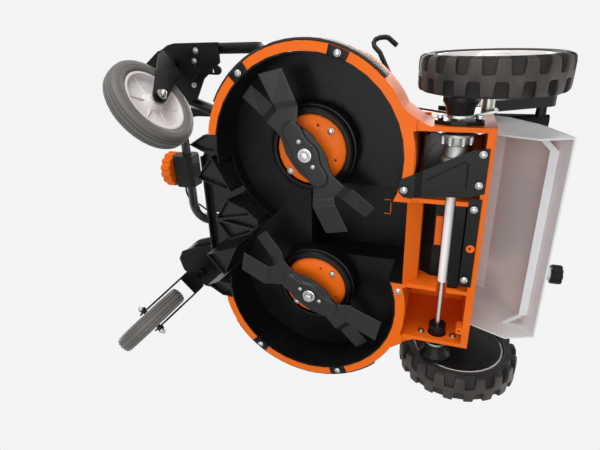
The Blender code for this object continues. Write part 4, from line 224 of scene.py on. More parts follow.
def rubbery(name, colour, roughness, dust=0.4, axle=None, crown=0.0):
    """Rubber: dull, browned by dry earth, and with painted shade darkening the pockets below a tyre's crown."""
    f = Finish(name, colour, roughness, Specular_IOR_Level=0.25)
    cloud = f.noise(16.0, 5.0, 0.65)
    fine = f.noise(380.0, 3.0)
    dusty = cloud.above(0.50, 0.35) * (0.4 + fine * 0.8).clamped() * dust
    earth_and_pocket_shade = f.blend(dusty, colour, DRY_EARTH)
    if axle:
        across = f.node(
            "ShaderNodeMapping", {}, Vector=f.place, Location=(0, -axle[1], -axle[2]),
            Scale=(0, 1, 1),
        )
        reach = f.node("ShaderNodeVectorMath", {"operation": "LENGTH"}, across, output="Value")
        # Painted shade: the pockets below the crown are darkened, standing for the shade that falls in them
        clear_of_pocket_shade = ((reach - (crown - POCKET_SHADE)) * 400.0).clamped()
        earth_and_pocket_shade = f.blend(clear_of_pocket_shade, f.blend(0.25, [c * 0.22 for c in colour], earth_and_pocket_shade), earth_and_pocket_shade)
    f.set("Base Color", earth_and_pocket_shade)
    f.set("Roughness", roughness + (cloud - 0.5) * 0.2)
    f.bump(fine * 0.6 + f.noise(60.0, 3.0) * 0.4, 0.00008)
    return f


def dress(finish, *nodes):
    """Put one finish on CAD nodes."""
    for node in nodes:
        mesh = frame["nodes"][node].data
        mesh.materials.clear()
        mesh.materials.append(finish.material)


def both(*stems):
    """Names of the left and the right node of each stem."""
    return [f"{stem}_{word}" for stem in stems for word in SPINDLE]


# How a piece is modelled: drawn as a line, spun or filled and extruded, then set in its place
def alone(piece):
    bpy.ops.object.select_all(action="DESELECT")
    piece.select_set(True)
    bpy.context.view_layer.objects.active = piece
    return piece


def line(points):
    """Open line through the points, extruded from one vertex; it is left in edit mode."""
    bpy.ops.object.select_all(action="DESELECT")
    bpy.ops.mesh.primitive_plane_add(size=0.001, location=(0, 0, 0))
    piece = bpy.context.active_object
    bpy.ops.object.mode_set(mode="EDIT")
    bpy.ops.mesh.select_mode(type="VERT")
    bpy.ops.mesh.merge(type="CENTER")
    bpy.ops.transform.translate(value=points[0])
    for before, after in zip(points, points[1:]):
        step = Vector(after) - Vector(before)
        bpy.ops.mesh.extrude_region_move(TRANSFORM_OT_translate={"value": step})
    bpy.ops.mesh.select_all(action="SELECT")
    return piece


def tidy_mesh(piece):
    """Join doubled points, turn the faces outward and leave edit mode."""
    bpy.ops.mesh.select_all(action="SELECT")
    bpy.ops.mesh.remove_doubles(threshold=0.000005)
    bpy.ops.mesh.normals_make_consistent(inside=False)
    bpy.ops.object.mode_set(mode="OBJECT")
    return piece


def turned(profile, steps):
    """Spin a profile of (radius, height) about +Z."""
    piece = line([(radius, 0, height) for radius, height in profile])
    bpy.ops.mesh.spin(steps=steps, angle=math.radians(360.0), center=(0, 0, 0), axis=(0, 0, 1))
    return tidy_mesh(piece)


def mirrored(half):
    """Closed profile of (radius, height) from its upper half."""
    loop = half + [(radius, -height) for radius, height in reversed(half)]
    return loop + loop[:1]


def plate(outline, thick):
    """Fill an outline of (x, y) and extrude it up from the XY plane."""
    piece = line([(x, y, 0) for x, y in outline])
    bpy.ops.mesh.edge_face_add()
    bpy.ops.mesh.extrude_region_move(TRANSFORM_OT_translate={"value": (0, 0, thick)})
    return tidy_mesh(piece)


def block(size, taper=1.0):
    """Box on the XY plane whose top face is drawn in."""
    bpy.ops.object.select_all(action="DESELECT")
    bpy.ops.mesh.primitive_cube_add(size=1.0, location=(0, 0, 0))
    piece = bpy.context.active_object
    bpy.ops.object.mode_set(mode="EDIT")
    bpy.ops.mesh.select_all(action="SELECT")
    bpy.ops.transform.resize(value=size)
    bpy.ops.transform.translate(value=(0, 0, size[2] / 2))
    choose(piece, lambda face: face.normal.z > 0.9)
    bpy.ops.transform.resize(value=(taper, taper, 1), center_override=(0, 0, size[2]))
    return tidy_mesh(piece)


def choose(piece, test):
    """Select the faces that pass a test, in edit mode."""
    bpy.ops.mesh.select_mode(type="FACE")
    bpy.ops.mesh.select_all(action="DESELECT")
    mesh = bmesh.from_edit_mesh(piece.data)
    for face in mesh.faces:
        face.select_set(test(face))
    bmesh.update_edit_mesh(piece.data)


def moved(x, y, z):
    return Matrix.Translation((x, y, z))


def rotated(angle, axis="Z"):
    return Matrix.Rotation(math.radians(angle), 4, axis)


def seat(place, normal, turn=0.0):
    """Matrix that stands a piece at a place with its +Z along a direction."""
    swing = Vector(normal).to_track_quat("Z", "Y").to_matrix().to_4x4()
    return moved(*place) @ swing @ rotated(turn)


def drop(piece):
    bpy.data.objects.remove(piece, do_unlink=True)


def put(piece, matrix):
    """Set a piece in its place; its mesh moves, and its origin stays."""
    piece.data.transform(matrix)
    if matrix.determinant() < 0:
        piece.data.flip_normals()
    return piece


def copied(piece, matrix):
    """Copy of a piece with its own mesh, set in its place."""
    copy = piece.copy()
    copy.data = piece.data.copy()
    bpy.context.scene.collection.objects.link(copy)
    return put(copy, matrix)


def many(piece, matrices):
    """Copies of one piece joined into one; the pattern itself goes."""
    made = [copied(piece, matrix) for matrix in matrices]
    drop(piece)
    return merged(made)


def merged(pieces):
    alone(pieces[0])
    for piece in pieces:
        piece.select_set(True)
    if len(pieces) > 1:
        bpy.ops.object.join()
    return bpy.context.active_object


def apply(piece, kind, **settings):
    alone(piece)
    added = piece.modifiers.new(kind.title(), kind)
    for key, value in settings.items():
        setattr(added, key, value)
    bpy.ops.object.modifier_apply(modifier=added.name)
    return piece


def bevelled(piece, width, segments=2, angle=30.0):
    """Round the edges that are sharper than an angle."""
    return apply(
        piece, "BEVEL", width=width, segments=segments, limit_method="ANGLE",
        angle_limit=math.radians(angle), harden_normals=False,
    )


def combined(piece, other, operation):
    """Cut a piece with another, or add the other to it; the other goes."""
    apply(piece, "BOOLEAN", object=other, operation=operation, solver="EXACT")
    drop(other)
    return piece


def fitted(piece, name, body, finish, angle=35.0, replaces=None):
    """Name a piece, give it its finish and let it ride on its body."""
    alone(piece)
    bpy.ops.object.shade_smooth_by_angle(angle=math.radians(angle))
    piece.name = name
    piece.data.name = name
    piece.data.materials.clear()
    piece.data.materials.append(bpy.data.materials[finish])
    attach(piece, body)
    if replaces:
        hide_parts(replaces)
    return piece


def circle(centre, radius, steps, start=0.0, sweep=360.0):
    """Points of a circle, or of an arc of it in degrees."""
    count = steps if sweep == 360.0 else steps + 1
    spots = [math.radians(start + sweep * i / steps) for i in range(count)]
    return [(centre[0] + radius * math.cos(a), centre[1] + radius * math.sin(a)) for a in spots]


def arch(centre, outer, inner, steps, start, sweep):
    """Outline of an arched strip between two radii."""
    back = circle(centre, inner, steps, start + sweep, -sweep)
    return circle(centre, outer, steps, start, sweep) + back


# Profiles of (radius, height); the rim's is its upper half
LINING_RING = [
    (0.0716, 0.076), (0.0745, 0.0752), (0.079, 0.077), (0.083, 0.0805), (0.0845, 0.085),
    (0.0875, 0.086), (0.089, 0.09), (0.09, 0.121), (0.0716, 0.121), (0.0716, 0.076),
]
CASTER_RIM = [
    (0.0062, 0.0195), (0.015, 0.0195), (0.0158, 0.0188), (0.0165, 0.013), (0.0185, 0.0118),
    (0.0215, 0.0112), (0.0228, 0.0098), (0.024, 0.0062), (0.03, 0.005), (0.059, 0.005),
    (0.064, 0.007), (0.0665, 0.013), (0.0672, 0.0172), (0.0685, 0.0182), (0.0728, 0.0182),
    (0.0742, 0.017),
]
BOLT_COLLAR = [
    (0, 0), (0.0205, 0), (0.0215, 0.003), (0.0215, 0.0125), (0.0265, 0.0135),
    (0.0275, 0.0145), (0.0275, 0.018), (0.0265, 0.019), (0, 0.019),
]
BOLT_BOSS = [
    (0, 0.012), (0.0046, 0.012), (0.0052, 0.011), (0.005, 0.0004), (0.0046, 0), (0, 0),
]
HUB_CAP = [
    (0, 0.0034), (0.008, 0.0032), (0.015, 0.0026), (0.0178, 0.002), (0.0186, 0.001),
    (0.0192, 0.0018), (0.0215, 0.0016), (0.0225, 0.0008), (0.0228, -0.002), (0, -0.002),
]


class MowerFinishes(bpy.types.PropertyGroup):
    orange: bpy.props.FloatVectorProperty(
        name="Housing orange", description="Colour of the housing, spindle flanges and speed dial",
        subtype="COLOR", default=(0.82, 0.140, 0.004), min=0, max=1)
    black: bpy.props.FloatVectorProperty(
        name="Moulded black", description="Colour of the ring lining, guards and black mouldings",
        subtype="COLOR", default=(0.0042, 0.0043, 0.0046), min=0, max=1)
    pale: bpy.props.FloatVectorProperty(
        name="Flap white", description="Colour of the rear flap, battery lid and lock post",
        subtype="COLOR", default=(0.70, 0.71, 0.72), min=0, max=1)
    rubber: bpy.props.FloatVectorProperty(
        name="Tyre rubber", description="Colour of the rear tyres",
        subtype="COLOR", default=(0.021, 0.020, 0.020), min=0, max=1)
    caster_rubber: bpy.props.FloatVectorProperty(
        name="Caster rubber", description="Colour of the caster tyres",
        subtype="COLOR", default=(0.125, 0.122, 0.115), min=0, max=1)


class MOWER_OT_finishes(bpy.types.Operator):
    """Give every part of the mower its finish"""

    bl_idname = "mower.finishes"
    bl_label = "Finish the Parts"

    def execute(self, context):
        tint = context.scene.mower_finishes
        orange, black, pale = list(tint.orange), list(tint.black), list(tint.pale)
        housing = moulded(
            "Housing orange", orange, 0.42, dust=0.10, dust_colour=(0.45, 0.30, 0.20),
            specular=0.13,
        )
        dress(housing, "deck_housing", "speed_dial", *both("spindle_flange"))
        dress(moulded("Lining black", black, 0.30, dust=0.03), "deck_liner", "discharge_chute")
        dress(
            moulded("Guard black", [c * 1.1 for c in black], 0.30, dust=0.05, grain=0.00003),
            "top_shroud", *both("gear_cover"),
        )
        moulded(
            "Guide black", [c * 1.6 for c in black], 0.24, dust=0.02, grain=0.000006, specular=0.30)
        dress(
            moulded("Grained black", [c * 1.7 for c in black], 0.44, dust=0.08, grain=0.00004),
            "handle_console", "control_housing", "lock_knob",
        )
        dress(moulded("Cable sheath", black, 0.40), "control_cable")
        flap = moulded(
            "Flap white", pale, 0.36, grain=0.00003, dust=0.16, dust_colour=(0.42, 0.38, 0.33),
            specular=0.4,
        )
        dress(flap, "rear_flap", "battery_lid", "lock_post")
        # A brighter copy of the flap white for the shaft sleeve: painted light, making up for the little light
        # that reaches the sleeve
        moulded(
            "Sleeve white", (0.93, 0.92, 0.89), 0.34, dust=0.06, dust_colour=(0.5, 0.46, 0.40),
            specular=0.5,
        )
        rim = moulded(
            "Rim plastic", (0.72, 0.70, 0.69), 0.40, dust=0.22, dust_colour=(0.36, 0.31, 0.26),
            specular=0.4,
        )
        dress(rim, *both("rear_rim", "caster_rim"))
        dress(
            moulded("Drum grey", (0.046, 0.047, 0.049), 0.40, grain=0.00003, specular=0.3),
            "drive_motor", "blade_motor", "battery_pack",
        )
        dress(
            coated("Powder coat", (0.0060, 0.0060, 0.0064), 0.30),
            "guard_plate", "cover_strip", "handlebar", "height_lever", "link_rod", "stop_bail",
            *both("front_bow", "caster_bracket", "caster_fork", "caster_bush"),
            *both("detent_lever", "bearing_flange"),
        )
        satin = coated(
            "Blade coat", (0.0125, 0.0127, 0.0130), 0.36, peel_scale=520.0, specular=0.26)
        dress(satin, *both("blade"))
        # The axle and the crown place the painted shade in the pockets of the tread
        low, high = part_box("rear_tyre_left")
        axle, crown = middle("rear_tyre_left"), (high[2] - low[2]) / 2
        tread = rubbery("Tread rubber", list(tint.rubber), 0.62, axle=axle, crown=crown)
        dress(tread, *both("rear_tyre"))
        caster = rubbery("Caster rubber", list(tint.caster_rubber), 0.50, dust=0.25)
        dress(caster, *both("caster_tyre"))
        edging = rubbery("Edge rubber", (0.008, 0.008, 0.008), 0.52, dust=0.1)
        dress(edging, "timing_belt", *both("edge_guard"))
        metal("Screw zinc", (0.46, 0.465, 0.46), 0.30, cloud_scale=160.0)
        dress(metal("Zinc plate", (0.36, 0.365, 0.33), 0.36, cloud_scale=60.0), *both("carrier"))
        dress(
            metal("Bright steel", (0.62, 0.62, 0.62), 0.28, (1, 40, 40)),
            "drive_shaft", "motor_pulley", "idler_pulley", *both("spindle"),
        )
        cast = metal(
            "Cast aluminium", (0.34, 0.34, 0.335), 0.46, grain=700.0, cloud_scale=90.0,
            depth=0.0001,
        )
        dress(cast, "gearbox")
        return {"FINISHED"}


UP = (0, 0, 1)
DOWN = (0, 0, -1)
# Height from which lines are sent up at the underside
BELOW = -0.02


def touch(nodes, place, way):
    """Where a line from a layout place first meets a part, and the way that face looks."""
    start = at(*place)
    met = []
    for node in nodes if isinstance(nodes, (list, tuple)) else [nodes]:
        mesh = frame["nodes"][node].data
        corners = [vertex.co for vertex in mesh.vertices]
        skin = BVHTree.FromPolygons(corners, [polygon.vertices for polygon in mesh.polygons])
        hit, normal, _, far = skin.ray_cast(start, Vector(way).normalized())
        if hit is not None:
            met.append((far, hit, normal))
    if not met:
        raise RuntimeError(f"no line from {place} along {way} meets {nodes}")
    return min(met, key=lambda found: found[0])[1:]


def sits(nodes, place, way):
    """Matrix that stands a piece square on the face that the line meets."""
    hit, normal = touch(nodes, place, way)
    return seat(hit, normal)


def faces(nodes, place, way):
    """Matrix that stands a piece where the line meets a part, pointing back along the line."""
    return seat(touch(nodes, place, way)[0], -Vector(way))


def under(nodes, x, y):
    """Matrix that hangs a piece on the underside of a part."""
    return faces(nodes, (x, y, BELOW), UP)


# The body that each node rides on
BODY_OF = {
    node: body for body, nodes in frame["record"]["behaviour"]["bodies"].items() for node in nodes
}


def softened(node, finish, bevel, angle=30.0, segments=2, smooth=40.0, hollow=None):
    """Copy of a CAD part with its edges rounded, which stands for the part."""
    source = frame["nodes"][node]
    piece = bpy.data.objects.new(node + "_body", source.data.copy())
    bpy.context.scene.collection.objects.link(piece)
    alone(piece)
    bpy.ops.object.mode_set(mode="EDIT")
    bpy.ops.mesh.select_all(action="SELECT")
    bpy.ops.mesh.remove_doubles(threshold=0.00001)
    bpy.ops.mesh.dissolve_limited(angle_limit=math.radians(0.5))
    if hollow:
        wall, depth, test = hollow
        choose(piece, test)
        bpy.ops.mesh.inset(thickness=wall, depth=0.0, use_individual=True)
        bpy.ops.mesh.inset(thickness=wall * 0.8, depth=-depth, use_individual=True)
    bpy.ops.object.mode_set(mode="OBJECT")
    if bevel:
        bevelled(piece, bevel, segments, angle)
    fitted(piece, node + "_body", BODY_OF[node], finish, smooth, replaces=node)
    return apply(piece, "WEIGHTED_NORMAL", keep_sharp=True, weight=90)


def soften_all(nodes, *settings, **more):
    for node in nodes:
        softened(node, *settings, **more)


class MowerEdges(bpy.types.PropertyGroup):
    mould: bpy.props.FloatProperty(
        name="Moulded edges", description="Radius on the edges of moulded parts",
        default=0.0012, min=0.0, max=0.004, unit="LENGTH")
    sheet: bpy.props.FloatProperty(
        name="Sheet edges", description="Radius on the edges of steel sheet parts",
        default=0.0006, min=0.0, max=0.002, unit="LENGTH")


def is_guide_face(face):
    """The broad lower faces of the grass guides, which are hollow mouldings."""
    low = face.calc_center_median().z < 0.075
    return face.normal.z < -0.35 and low and face.calc_area() > 0.0004


class MOWER_OT_mouldings(bpy.types.Operator):
    """Round the edges of the moulded parts"""

    bl_idname = "mower.mouldings"
    bl_label = "Round the Mouldings"

    def execute(self, context):
        edge = context.scene.mower_edges.mould
        orange = ("deck_housing", "speed_dial", *both("spindle_flange"))
        soften_all(orange, "Housing orange", edge)
        soften_all(("deck_liner", "discharge_chute"), "Lining black", edge)
        hollow = (0.0024, 0.011, is_guide_face)
        softened("front_guard", "Guide black", edge * 0.6, 12.0, smooth=30.0, hollow=hollow)
        softened("top_shroud", "Guard black", edge * 3.0, 25.0, 3)
        soften_all(both("gear_cover"), "Guard black", edge * 0.6)
        grained = ("handle_console", "control_housing", "lock_knob")
        soften_all(grained, "Grained black", edge * 1.2, segments=3)
        soften_all(("rear_flap", "battery_lid"), "Flap white", edge * 1.2, 15.0, 3, 30.0)
        softened("lock_post", "Flap white", edge * 0.5)
        soften_all(both("rear_rim"), "Rim plastic", edge * 0.8)
        softened("drive_motor", "Drum grey", edge)
        soften_all(both("edge_guard"), "Edge rubber", edge)
        return {"FINISHED"}


class MOWER_OT_steelwork(bpy.types.Operator):
    """Round the edges of the steel sheet, the tubes, the shafts and the castings"""

    bl_idname = "mower.steelwork"
    bl_label = "Round the Steelwork"

    def execute(self, context):
        edge = context.scene.mower_edges.sheet
        sheets = both("bearing_flange", "caster_bracket", "caster_fork")
        soften_all(("guard_plate", "cover_strip", *sheets), "Powder coat", edge, 20.0)
        small = both("caster_bush", "detent_lever")
        soften_all(("height_lever", "link_rod", *small), "Powder coat", edge)
        soften_all(("handlebar", "stop_bail", *both("front_bow")), "Powder coat", 0.0)
        soften_all(both("carrier"), "Zinc plate", edge)
        softened("gearbox", "Cast aluminium", edge)
        soften_all(("drive_shaft", *both("spindle")), "Bright steel", edge * 0.5)
        # The sleeve takes the brightened copy of the white, which is painted light
        softened("shaft_sleeve", "Sleeve white", edge * 0.5)
        return {"FINISHED"}


# The raised boss of a blade: a pillow with three lobes, at the nut and towards the wings
BLADE_TURN = {"left": -29.6, "right": -60.8}
BOSS_REACH = 0.068
BOSS_WIDTH = 0.0240
BOSS_LOBE = 0.0034
LOBE_PITCH = 0.058
BOSS_THICK = 0.0080
BOSS_DROP = 0.0048
HUB_PROBE = 0.017


def boss_outline():
    """The width swells and narrows along the boss, and its ends are full."""
    outline = []
    for a in [2 * math.pi * i / 60 for i in range(60)]:
        along = BOSS_REACH * math.cos(a)
        across = math.copysign(abs(math.sin(a)) ** 0.7, math.sin(a))
        wave = math.cos(2 * math.pi * along / LOBE_PITCH)
        outline.append((along, across * (BOSS_WIDTH + BOSS_LOBE * wave)))
    return outline


def boss_low(word):
    """Height of the boss's lower face, found from the blade beside the nut."""
    probe = (SPINDLE[word].x - DATUM.x + HUB_PROBE, 0, BELOW)
    return touch("blade_" + word, probe, UP)[0].z - BOSS_DROP


class MOWER_OT_blades(bpy.types.Operator):
    """Forge the blades: folds rounded as pressed steel, with a raised boss along the hub"""

    bl_idname = "mower.blades"
    bl_label = "Forge the Blades"

    def execute(self, context):
        for word, angle in BLADE_TURN.items():
            blade = softened("blade_" + word, "Blade coat", 0.0)
            boss = bevelled(plate(boss_outline(), BOSS_THICK), 0.0038, 3, 40.0)
            put(boss, moved(*SPINDLE[word].xy, boss_low(word)) @ rotated(angle))
            combined(blade, boss, "UNION")
            apply(blade, "REMESH", mode="VOXEL", voxel_size=0.0011)
            apply(blade, "SMOOTH", factor=0.5, iterations=9)
            apply(blade, "DECIMATE", ratio=0.35)
            alone(blade)
            bpy.ops.object.shade_smooth_by_angle(angle=math.radians(60.0))
        return {"FINISHED"}


class MOWER_OT_lining_rings(bpy.types.Operator):
    """Turn the raised lining rings round the spindle flanges"""

    bl_idname = "mower.lining_rings"
    bl_label = "Turn the Lining Rings"

    def execute(self, context):
        ring = turned(LINING_RING, 72)
        spots = [moved(*hub.xy, 0) for hub in SPINDLE.values()]
        fitted(many(ring, spots), "lining_rings", "deck", "Lining black", 40.0)
        return {"FINISHED"}


class MowerTyres(bpy.types.PropertyGroup):
    pockets: bpy.props.IntProperty(
        name="Tread pockets", description="Pockets round each shoulder of a rear tyre",
        default=19, min=12, max=30)
    pocket_depth: bpy.props.FloatProperty(
        name="Pocket depth", description="Depth of the tread pockets",
        default=0.0065, min=0.002, max=0.009, unit="LENGTH")


class MOWER_OT_rear_tyres(bpy.types.Operator):
    """Mould the rear tyres: two staggered rows of pockets between lugs that meet a middle rib"""

    bl_idname = "mower.rear_tyres"
    bl_label = "Mould the Rear Tyres"

    def execute(self, context):
        tread = context.scene.mower_tyres
        low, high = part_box("rear_tyre_left")
        radius, half = (high[2] - low[2]) / 2, (high[0] - low[0]) / 2
        flank = [
            (0.0915, half - 0.0095), (0.0935, half - 0.0035), (0.0965, half - 0.0012),
            (0.1, half - 0.0006), (0.1006, half - 0.0014), (0.1016, half - 0.0014),
            (0.1022, half - 0.0004), (0.1075, half - 0.0004), (0.113, half - 0.0016),
            (0.1168, half - 0.0034), (radius - 0.0014, half - 0.0062),
            (radius - 0.0002, half * 0.55),
        ]
        tyre = turned(mirrored(flank), 114)
        # A pocket widens from the middle rib outwards, and its floor leans down
        inner, outer, start, lean = 0.0098, 0.0120, 0.0032, 11.0
        pocket = plate(
            [(start, -inner + 0.004), (start, inner - 0.004), (start + 0.0012, inner - 0.0012),
             (start + 0.0042, inner), (half + 0.01, outer), (half + 0.01, -outer),
             (start + 0.0042, -inner), (start + 0.0012, -inner + 0.0012)],
            0.02,
        )
        spots = []
        step = 2 * math.pi / tread.pockets
        for row in (1, -1):
            for i in range(tread.pockets):
                turn = step * (i + (0.5 if row < 0 else 0.0))
                out = Vector((math.cos(turn), math.sin(turn), 0))
                side = Vector((out.y, -out.x, 0))
                axes = Matrix((Vector((0, 0, row)), side, out)).transposed().to_4x4()
                floor = out * (radius - tread.pocket_depth)
                spots.append(moved(*floor) @ axes @ rotated(lean, "Y"))
        combined(tyre, many(pocket, spots), "DIFFERENCE")
        bevelled(tyre, 0.0007, 2, 28.0)
        for word, side in SIDES:
            node = "rear_tyre_" + word
            copy = copied(tyre, seat(middle(node), (side, 0, 0)))
            fitted(copy, node + "_tread", "rear_wheel_" + word, "Tread rubber", 30.0, node)
        drop(tyre)
        return {"FINISHED"}


class MOWER_OT_caster_wheels(bpy.types.Operator):
    """Mould the caster tyres and their ribbed rims"""

    bl_idname = "mower.caster_wheels"
    bl_label = "Make the Caster Wheels"

    def execute(self, context):
        low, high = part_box("caster_tyre_left")
        radius = (high[2] - low[2]) / 2
        flank = [
            (0.0735, 0.0165), (0.076, 0.02), (0.079, 0.0218), (0.086, 0.0228), (0.0868, 0.0222),
            (0.0876, 0.0228), (0.093, 0.0226), (0.0975, 0.0212), (0.1, 0.019), (0.1018, 0.016),
            (0.103, 0.0148), (0.1014, 0.014), (0.1014, 0.0126), (0.1036, 0.0118),
            (radius - 0.0006, 0.0075), (radius - 0.0024, 0.0068), (radius - 0.0024, 0.0054),
            (radius - 0.0003, 0.0047),
        ]
        tyre = turned(mirrored(flank), 96)
        rim = turned(mirrored(CASTER_RIM), 72)
        rib_thick = 0.0022
        rib = plate(
            [(0.0205, 0), (0.0205, 0.0105), (0.0240, 0.0098), (0.0560, 0.0068), (0.0655, 0.0120),
             (0.0655, 0)],
            rib_thick,
        )
        stand = moved(0, rib_thick / 2, 0) @ rotated(90.0, "X")
        spots = []
        for i in range(6):
            turn = rotated(60.0 * i)
            spots += [turn @ stand, rotated(180.0, "X") @ turn @ stand]
        rim = merged([rim, many(rib, spots)])
        bevelled(rim, 0.0005, 2, 40.0)
        for word in SPINDLE:
            body = "caster_wheel_" + word
            place = seat(middle("caster_rim_" + word), axis_of("caster_wheel_spin_" + word))
            node = "caster_tyre_" + word
            fitted(copied(tyre, place), node + "_tread", body, "Caster rubber", 25.0, node)
            node = "caster_rim_" + word
            fitted(copied(rim, place), node + "_disc", body, "Rim plastic", 35.0, node)
        drop(tyre)
        drop(rim)
        return {"FINISHED"}


def axis_of(joint):
    found = next(j for j in frame["joints"] if j["name"] == joint)
    return Vector(found["axis"])


# Fasteners stand on the XY plane, with their lowest edge let in
SEATED = -0.0004


def pan_screw(radius):
    """Flanged button head with a drive recess."""
    shape = [
        (0, 0.3), (0.36, 0.3), (0.42, 0.62), (0.62, 0.58), (0.78, 0.42), (0.84, 0.24), (1, 0.18),
    ]
    return turned(scaled(shape, radius) + [(radius, SEATED)], 24)


def scaled(shape, radius):
    return [(radius * across, radius * high) for across, high in shape]


def washer(radius, width, high):
    """Washer under a head, in terms of the head's radius."""
    ring = scaled([(0.3, high), (width, high)], radius)
    return turned(ring + [(radius * width, SEATED)], 24)


def hexagon(radius, thick, low):
    head = plate(circle((0, 0), radius, 6), radius * thick)
    bevelled(head, radius * 0.08, 2, 40.0)
    return put(head, moved(0, 0, radius * low))


def hex_bolt(radius, width=1.35):
    """Hexagon head on a washer."""
    return merged([hexagon(radius, 0.62, 0.22), washer(radius, width, 0.24)])


def dome_nut(radius):
    """Cap nut: dome on a hexagon on a washer."""
    nut = hexagon(radius, 0.7, 0.18)
    shape = [(0, 1.62), (0.34, 1.52), (0.62, 1.26), (0.76, 0.9), (0.76, 0.6)]
    dome = turned(scaled(shape, radius), 20)
    return merged([nut, dome, washer(radius, 1.3, 0.2)])


class MowerFasteners(bpy.types.PropertyGroup):
    screw: bpy.props.FloatProperty(
        name="Screw head", description="Radius of the housing screws' heads",
        default=0.0062, min=0.003, max=0.010, unit="LENGTH")
    small: bpy.props.FloatProperty(
        name="Small screw head", description="Radius of the small bolts' heads",
        default=0.0042, min=0.002, max=0.006, unit="LENGTH")
    nut: bpy.props.FloatProperty(
        name="Nut", description="Radius of the axle nuts",
        default=0.0088, min=0.004, max=0.012, unit="LENGTH")


# Layout places of the screws, and turns of the tabs round each spindle
FLANGE_SCREWS = ((0.1926, 0.0411), (0.1105, -0.0425), (-0.1130, 0.0418), (-0.1950, -0.0410))
COVER_SCREWS = (
    (0.174, 0.3076), (0.1213, 0.307), (0.1041, 0.1852), (0.078, 0.3042), (-0.0599, 0.3027),
)
RIM_TAB_TURNS = (20.0, -39.0)
BLADE_SCREWS = {
    "left": ((0.1783, -0.0112), (0.1318, 0.0152)),
    "right": ((-0.1393, -0.0195), (-0.1626, 0.0222)),
}
BRACKET_NUTS = ((0.3285, -0.3584), (0.3045, -0.3656), (0.2479, -0.3739))


class MOWER_OT_deck_screws(bpy.types.Operator):
    """Drive the screws of the housing, the lining and the guards"""

    bl_idname = "mower.deck_screws"
    bl_label = "Drive the Deck Screws"

    def execute(self, context):
        size = context.scene.mower_fasteners
        deck = [
            "deck_housing", "deck_liner", "guard_plate", "cover_strip", "discharge_chute",
            "front_guard", *both("edge_guard"),
        ]
        flange_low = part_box("spindle_flange_left")[0][2]
        spots = [seat(at(x, y, flange_low + 0.0002), DOWN) for x, y in FLANGE_SCREWS]
        tab = bevelled(plate(arch((0, 0), 0.1985, 0.1800, 6, -5.5, 11.0), 0.0018), 0.0005, 2, 40.0)
        tabs = []
        tab_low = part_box("deck_housing")[0][2] - 0.0016
        head = moved(0.1895, 0, 0) @ rotated(180.0, "X")
        for word, side in SIDES:
            hub = moved(*SPINDLE[word].xy, tab_low)
            for angle in RIM_TAB_TURNS:
                turn = angle if side > 0 else 180.0 - angle
                tabs.append(hub @ rotated(turn))
                spots.append(tabs[-1] @ head)
            spots.append(under(deck, side * 0.105, 0.186))
        fitted(many(tab, tabs), "rim_tabs", "deck", "Lining black", 40.0)
        spots += [under(deck, x, y) for x, y in COVER_SCREWS]
        screws = many(pan_screw(size.screw), spots)
        fitted(screws, "deck_screws", "deck", "Screw zinc", 40.0)
        return {"FINISHED"}


class MOWER_OT_blade_bolts(bpy.types.Operator):
    """Bolt the blades to their spindles"""

    bl_idname = "mower.blade_bolts"
    bl_label = "Bolt the Blades"

    def execute(self, context):
        size = context.scene.mower_fasteners
        for word in SPINDLE:
            low = boss_low(word)
            spots = [seat(at(x, y, low), DOWN) for x, y in BLADE_SCREWS[word]]
            bolts = many(pan_screw(size.small), spots)
            end = (*SPINDLE[word].xy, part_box("spindle_" + word)[0][2])
            nut = many(hex_bolt(size.nut * 1.05, 1.25), [seat(end, DOWN, 12.0)])
            body = "blade_unit_" + word
            fitted(merged([bolts, nut]), f"blade_bolts_{word}", body, "Screw zinc", 40.0)
        return {"FINISHED"}


class MOWER_OT_axle_nuts(bpy.types.Operator):
    """Fit the nuts of the casters, the brackets and the shaft bearings"""

    bl_idname = "mower.axle_nuts"
    bl_label = "Fit the Axle Nuts"

    def execute(self, context):
        size = context.scene.mower_fasteners
        for word, side in SIDES:
            hub = middle("caster_rim_" + word) - DATUM
            axle = axis_of("caster_wheel_spin_" + word)
            fork = "caster_fork_" + word
            ends = [sits(fork, hub + axle * sign * 0.08, axle * -sign) for sign in (1, -1)]
            nuts = many(dome_nut(size.nut), ends)
            fitted(nuts, f"caster_nuts_{word}", "caster_swivel_" + word, "Screw zinc", 40.0)

            bracket, flange = "caster_bracket_" + word, "bearing_flange_" + word
            spots = [faces(bracket, (side * x, y, 0.20), UP) for x, y in BRACKET_NUTS]
            for y in (0.234, 0.297):
                spots.append(faces(flange, (side * 0.30, y, 0.064), (-side, 0, 0)))
            for y in (0.2346, 0.2961):
                spots.append(faces("deck_housing", (side * 0.17, y, 0.058), (side, 0, 0)))
            nuts = many(hex_bolt(size.screw * 0.85), spots)
            fitted(nuts, f"bracket_nuts_{word}", "deck", "Screw zinc", 40.0)
        return {"FINISHED"}


def louvre(length, height):
    """Rounded slat standing on the XY plane."""
    ends = circle((length / 2 - height / 2, 0), height / 2, 6, -90.0, 180.0)
    ends += circle((-length / 2 + height / 2, 0), height / 2, 6, 90.0, 180.0)
    return bevelled(plate(ends, 0.0022), 0.0007, 2, 40.0)


